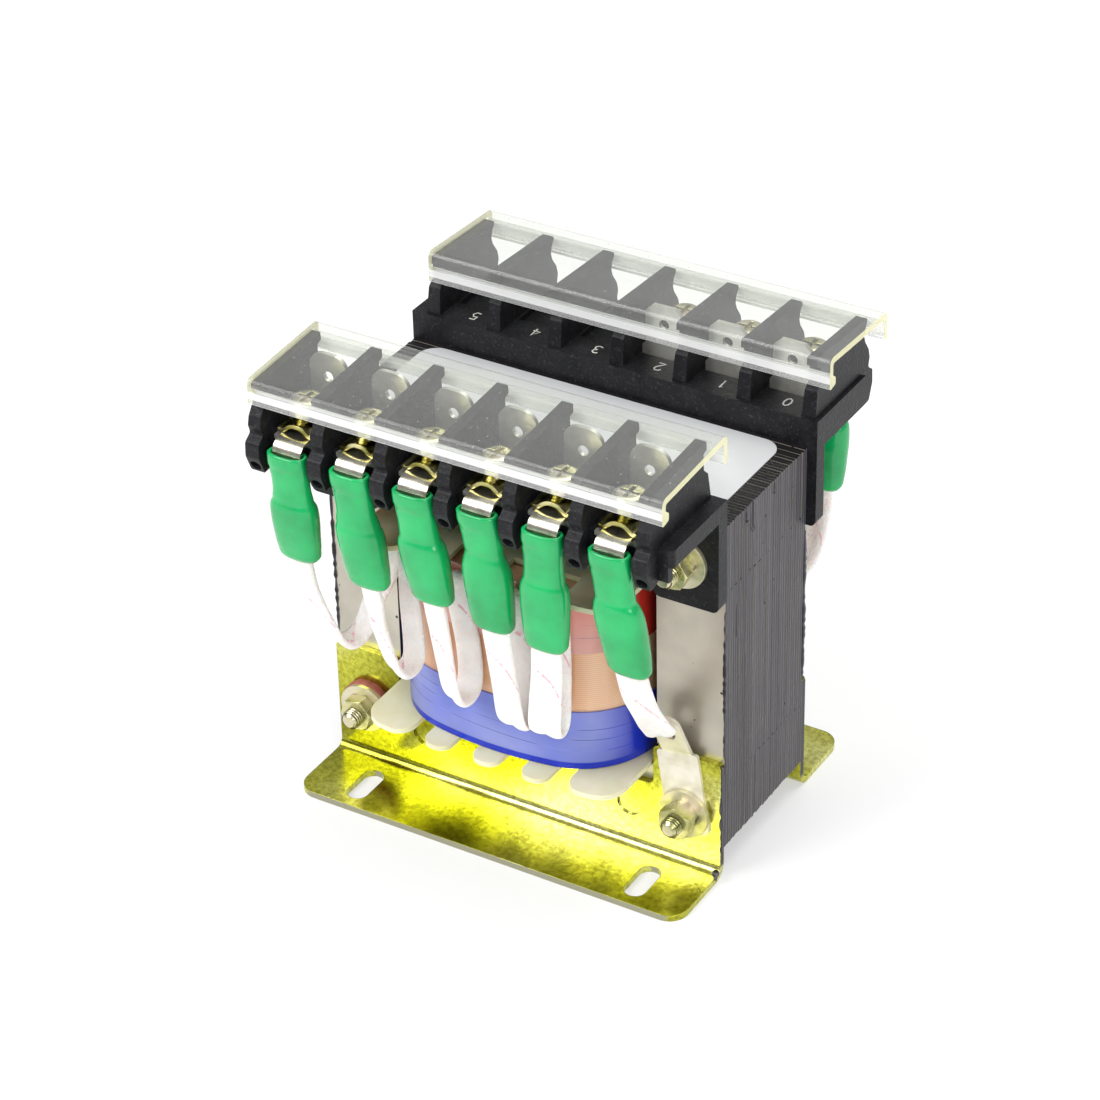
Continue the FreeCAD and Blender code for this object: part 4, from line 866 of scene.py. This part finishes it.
def middle_line(name, route_mm):
    """Points along the smooth spline whose control points are the route."""
    curve = bpy.data.curves.new(name + "_line", "CURVE")
    curve.dimensions = "3D"
    curve.resolution_u = 10
    spline = curve.splines.new("NURBS")
    spline.points.add(len(route_mm) - 1)
    for point, place in zip(spline.points, route_mm):
        point.co = (place[0] * MM, place[1] * MM, place[2] * MM, 1.0)
    spline.order_u = 3
    spline.use_endpoint_u = True
    holder = bpy.data.objects.new(name + "_line", curve)
    drawn = bpy.data.meshes.new_from_object(holder)
    line = np.array([vertex.co[:] for vertex in drawn.vertices]) / MM
    bpy.data.objects.remove(holder)
    bpy.data.meshes.remove(drawn)
    bpy.data.curves.remove(curve)
    return line


# %% Lead surface
def flat_tube(line, wide, thick, twist, pinch):
    """Rounded flat section (|cos|^0.6, |sin|^0.8) carried along a line, its width near X.
    A bell-shaped groove runs down the middle of both faces, where the woven tube is pressed."""
    step = np.gradient(line, axis=0)
    step /= np.linalg.norm(step, axis=1)[:, None]
    run = np.concatenate([[0], np.cumsum(np.linalg.norm(np.diff(line, axis=0), axis=1))])
    part = run / run[-1]
    side = np.array([1.0, 0, 0]) - step * step[:, :1]
    side /= np.linalg.norm(side, axis=1)[:, None]
    face = np.cross(step, side)
    turn = np.interp(part, np.linspace(0, 1, len(twist)), np.radians(twist))
    across = side * np.cos(turn)[:, None] + face * np.sin(turn)[:, None]
    outward = face * np.cos(turn)[:, None] - side * np.sin(turn)[:, None]
    squeeze = np.interp(part, np.linspace(0, 1, len(pinch)), pinch)
    angle = np.linspace(0, 2 * np.pi, AROUND, endpoint=False)
    cosine, sine = np.cos(angle), np.sin(angle)
    u = np.sign(cosine) * np.abs(cosine) ** 0.6
    v = np.sign(sine) * np.abs(sine) ** 0.8 * (1 - 0.4 * np.exp(-(u / 0.3) ** 2))
    shape = (line[:, None, :]
             + across[:, None, :] * (u[None, :, None] * (wide / 2) * squeeze[:, None, None])
             + outward[:, None, :] * (v[None, :, None] * (thick / 2) / squeeze[:, None, None]))
    rows = len(line)
    points = np.vstack([shape.reshape(-1, 3), line[:1], line[-1:]])
    turn = np.arange(AROUND)
    after = (turn + 1) % AROUND
    tip = np.full(AROUND, rows * AROUND)
    first = np.stack([tip, after, turn], -1)
    last = np.stack([tip + 1, turn + (rows - 1) * AROUND, after + (rows - 1) * AROUND], -1)
    return points, [grid_faces(rows, AROUND), first, last], run


def make_lead(name, node, route_mm, turned, wide, twist, pinch, cut=0):
    """One lead: spline, flat tube (cut so many steps short of its end), UV map; gives its length.
    """
    line = middle_line(name, route_mm) * turned
    points, faces, run = flat_tube(line[:len(line) - cut], wide, LEAD_THICK, twist, pinch)
    piece = mesh_piece(name, [(points, faces)], [WOVEN])
    uv = piece.data.uv_layers.new(name="along")
    corner = np.zeros(len(piece.data.loops), int)
    piece.data.loops.foreach_get("vertex_index", corner)
    row = np.clip(corner // AROUND, 0, len(run) - 1)
    spread = np.column_stack([(corner % AROUND) / AROUND, run[row] / 10.0])
    uv.data.foreach_set("uv", spread.astype(np.float32).ravel())
    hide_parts(node)
    return run[-1]


# %% Nine leads
lengths = []
for side, routes, row, turned, wides, twists, pinches in (
        ("", front_routes, FRONT_SLEEVES, 1, LEAD_WIDE, TWISTS, PINCHES),
        ("rear_", rear_routes, REAR_SLEEVES, HALF_TURN, REAR_WIDE, REAR_TWISTS, REAR_PINCHES)):
    for k, route in enumerate(routes):
        lean_x, drop = row[k]
        x = POLE_FIRST + k * POLE_PITCH
        start = [sleeve_point(x, lean_x, drop, z)
                 for z in (SLEEVE_TOP - START_DROP, SLEEVE_TOP - drop - BELOW_SLEEVE)]
        # The sixth lead's tube stops one step short of the end of its line.
        name, node = side + "lead_sleeving_%d" % (k + 1), side + "lead_%d" % (k + 1)
        lengths.append(make_lead(name, node, start + route, turned, wides[k], twists[k],
                                 pinches[k], cut=int(k == 5)))
print("lead lengths, mm:", np.round(lengths, 1))

# %% [markdown]
# ## Pole numbers
# The deck of each block carries plain pole numbers, printed by the moulder. Each digit is a
# line of a few points with a flat ribbon carried along it.

# %% Pole numbers
DIGITS = [
    [(0.2, 0.5), (0.28, 0.85), (0.5, 1.0), (0.72, 0.85), (0.8, 0.5), (0.72, 0.15), (0.5, 0.0),
     (0.28, 0.15), (0.2, 0.5)],
    [(0.35, 0.8), (0.55, 1.0), (0.55, 0.0)],
    [(0.2, 0.8), (0.35, 1.0), (0.65, 1.0), (0.8, 0.8), (0.75, 0.6), (0.2, 0.0), (0.8, 0.0)],
    [(0.2, 0.9), (0.5, 1.0), (0.75, 0.85), (0.7, 0.6), (0.45, 0.52), (0.75, 0.4),
     (0.78, 0.15), (0.5, 0.0), (0.2, 0.1)],
    [(0.65, 0.0), (0.65, 1.0), (0.2, 0.3), (0.85, 0.3)],
    [(0.75, 1.0), (0.3, 1.0), (0.25, 0.6), (0.6, 0.62), (0.8, 0.35), (0.6, 0.02),
     (0.2, 0.08)],
]
DECK = 94.0
DIGIT_HIGH = 3.0
DIGIT_WIDE = 2.6
DIGIT_LEFT = 0.9
DIGIT_FOOT = -23.4
STROKE = 0.32
INK = 0.06


def ribbon(path):
    """Flat strip of constant width round a broken line, as thick as the ink."""
    step = np.gradient(path, axis=0)
    step /= np.linalg.norm(step, axis=1)[:, None]
    side = np.column_stack([-step[:, 1], step[:, 0]]) * STROKE / 2
    rows = len(path)
    low, high = np.full(rows, DECK), np.full(rows, DECK + INK)
    rings = [np.column_stack(corner) for corner in
             ((path + side, low), (path - side, low), (path - side, high), (path + side, high))]
    ends = np.array([[0, 3, 2, 1], [4 * rows - 4, 4 * rows - 3, 4 * rows - 2, 4 * rows - 1]])
    return np.stack(rings, 1).reshape(-1, 3), [grid_faces(rows, 4), ends]


for side, turned in (("front", 1), ("rear", HALF_TURN)):
    shapes = []
    for k, digit in enumerate(DIGITS):
        place = np.array([POLE_FIRST + k * POLE_PITCH - DIGIT_LEFT, DIGIT_FOOT])
        made, quads = ribbon(place + (np.array(digit) - [0.5, 0]) * [DIGIT_WIDE, DIGIT_HIGH])
        shapes.append((made * turned, quads))
    mesh_piece(side + "_pole_numbers", shapes, [PRINT], smooth=False)
print("pole numbers on two blocks")

# %% [markdown]
# ## Studio
# A big pale floor and soft boxes, as for a catalogue picture. The world is brighter above and
# darker near the horizon, so bright metal has something dark to reflect.

# %% Floor and world
FLOOR_HALF = 4
FLOOR_LIFT = 0.45


def pale_floor():
    """Matt floor: a little light of its own, which only the camera, mirrors and clear pieces
    see, makes it white. The object's shadow stays, and matt surfaces get no light from it."""
    made, tree, place = new_material("studio paper")
    paper = add(tree, "ShaderNodeBsdfDiffuse", {"Color": "#F4F4F4"})
    lift = add(tree, "ShaderNodeEmission", {"Color": "#FFFFFF", "Strength": 1.0})
    path = add(tree, "ShaderNodeLightPath").outputs
    mirrored = add(tree, "ShaderNodeMath", {
        0: path["Is Glossy Ray"], 1: path["Is Transmission Ray"]}, operation="MAXIMUM")
    seen = add(tree, "ShaderNodeMath", {0: path["Is Camera Ray"], 1: mirrored}, operation="MAXIMUM")
    share = add(tree, "ShaderNodeMath", {0: seen, 1: FLOOR_LIFT}, operation="MULTIPLY")
    mix = add(tree, "ShaderNodeMixShader", {0: share, 1: paper, 2: lift})
    add(tree, "ShaderNodeOutputMaterial", {"Surface": mix})
    return made


corners = [(x * FLOOR_HALF, y * FLOOR_HALF, 0) for x, y in ((-1, -1), (1, -1), (1, 1), (-1, 1))]
floor_mesh = bpy.data.meshes.new("studio_floor")
floor_mesh.from_pydata(corners, [], [(0, 1, 2, 3)])
floor_mesh.materials.append(pale_floor())
floor = bpy.data.objects.new("studio_floor", floor_mesh)
bpy.context.scene.collection.objects.link(floor)

world = bpy.data.worlds.new("studio")
world.use_nodes = True
sky = world.node_tree
sky.nodes.clear()
where = add(sky, "ShaderNodeTexCoord")
height = add(sky, "ShaderNodeSeparateXYZ", {"Vector": where.outputs["Generated"]})
glow = add(sky, "ShaderNodeValToRGB", {"Fac": height.outputs["Z"]}, [
    (0.0, 0.5), (0.12, 0.22), (0.4, (0.5, 0.5, 0.51, 1)), (0.8, 0.9)])
light = add(sky, "ShaderNodeBackground", {"Color": glow, "Strength": 0.75})
add(sky, "ShaderNodeOutputWorld", {"Surface": light})
bpy.context.scene.world = world
print("floor and world ready")

# %% Lamps
HEART = Vector((0, 0, 0.05))


def soft_box(name, place, size, power):
    """Square area lamp at a place, facing the middle of the object."""
    lamp = bpy.data.lights.new(name, "AREA")
    lamp.shape = "SQUARE"
    lamp.size = size
    lamp.energy = power
    holder = bpy.data.objects.new(name, lamp)
    holder.location = place
    aim = HEART - Vector(place)
    holder.rotation_euler = aim.to_track_quat("-Z", "Y").to_euler()
    bpy.context.scene.collection.objects.link(holder)


soft_box("key_light", (-0.7, -0.9, 1.1), 0.8, 15.0)
soft_box("fill_light", (1.0, -0.8, 0.7), 0.8, 7.0)
soft_box("top_light", (0.1, 0.5, 1.3), 1.0, 11.0)
# A small weak lamp: its image is the sharp white spark on glossy plastic and screw heads.
soft_box("spark_light", (-0.25, -0.85, 0.75), 0.12, 0.5)
bpy.context.scene.view_settings.view_transform = "Standard"
print("lamps 4")
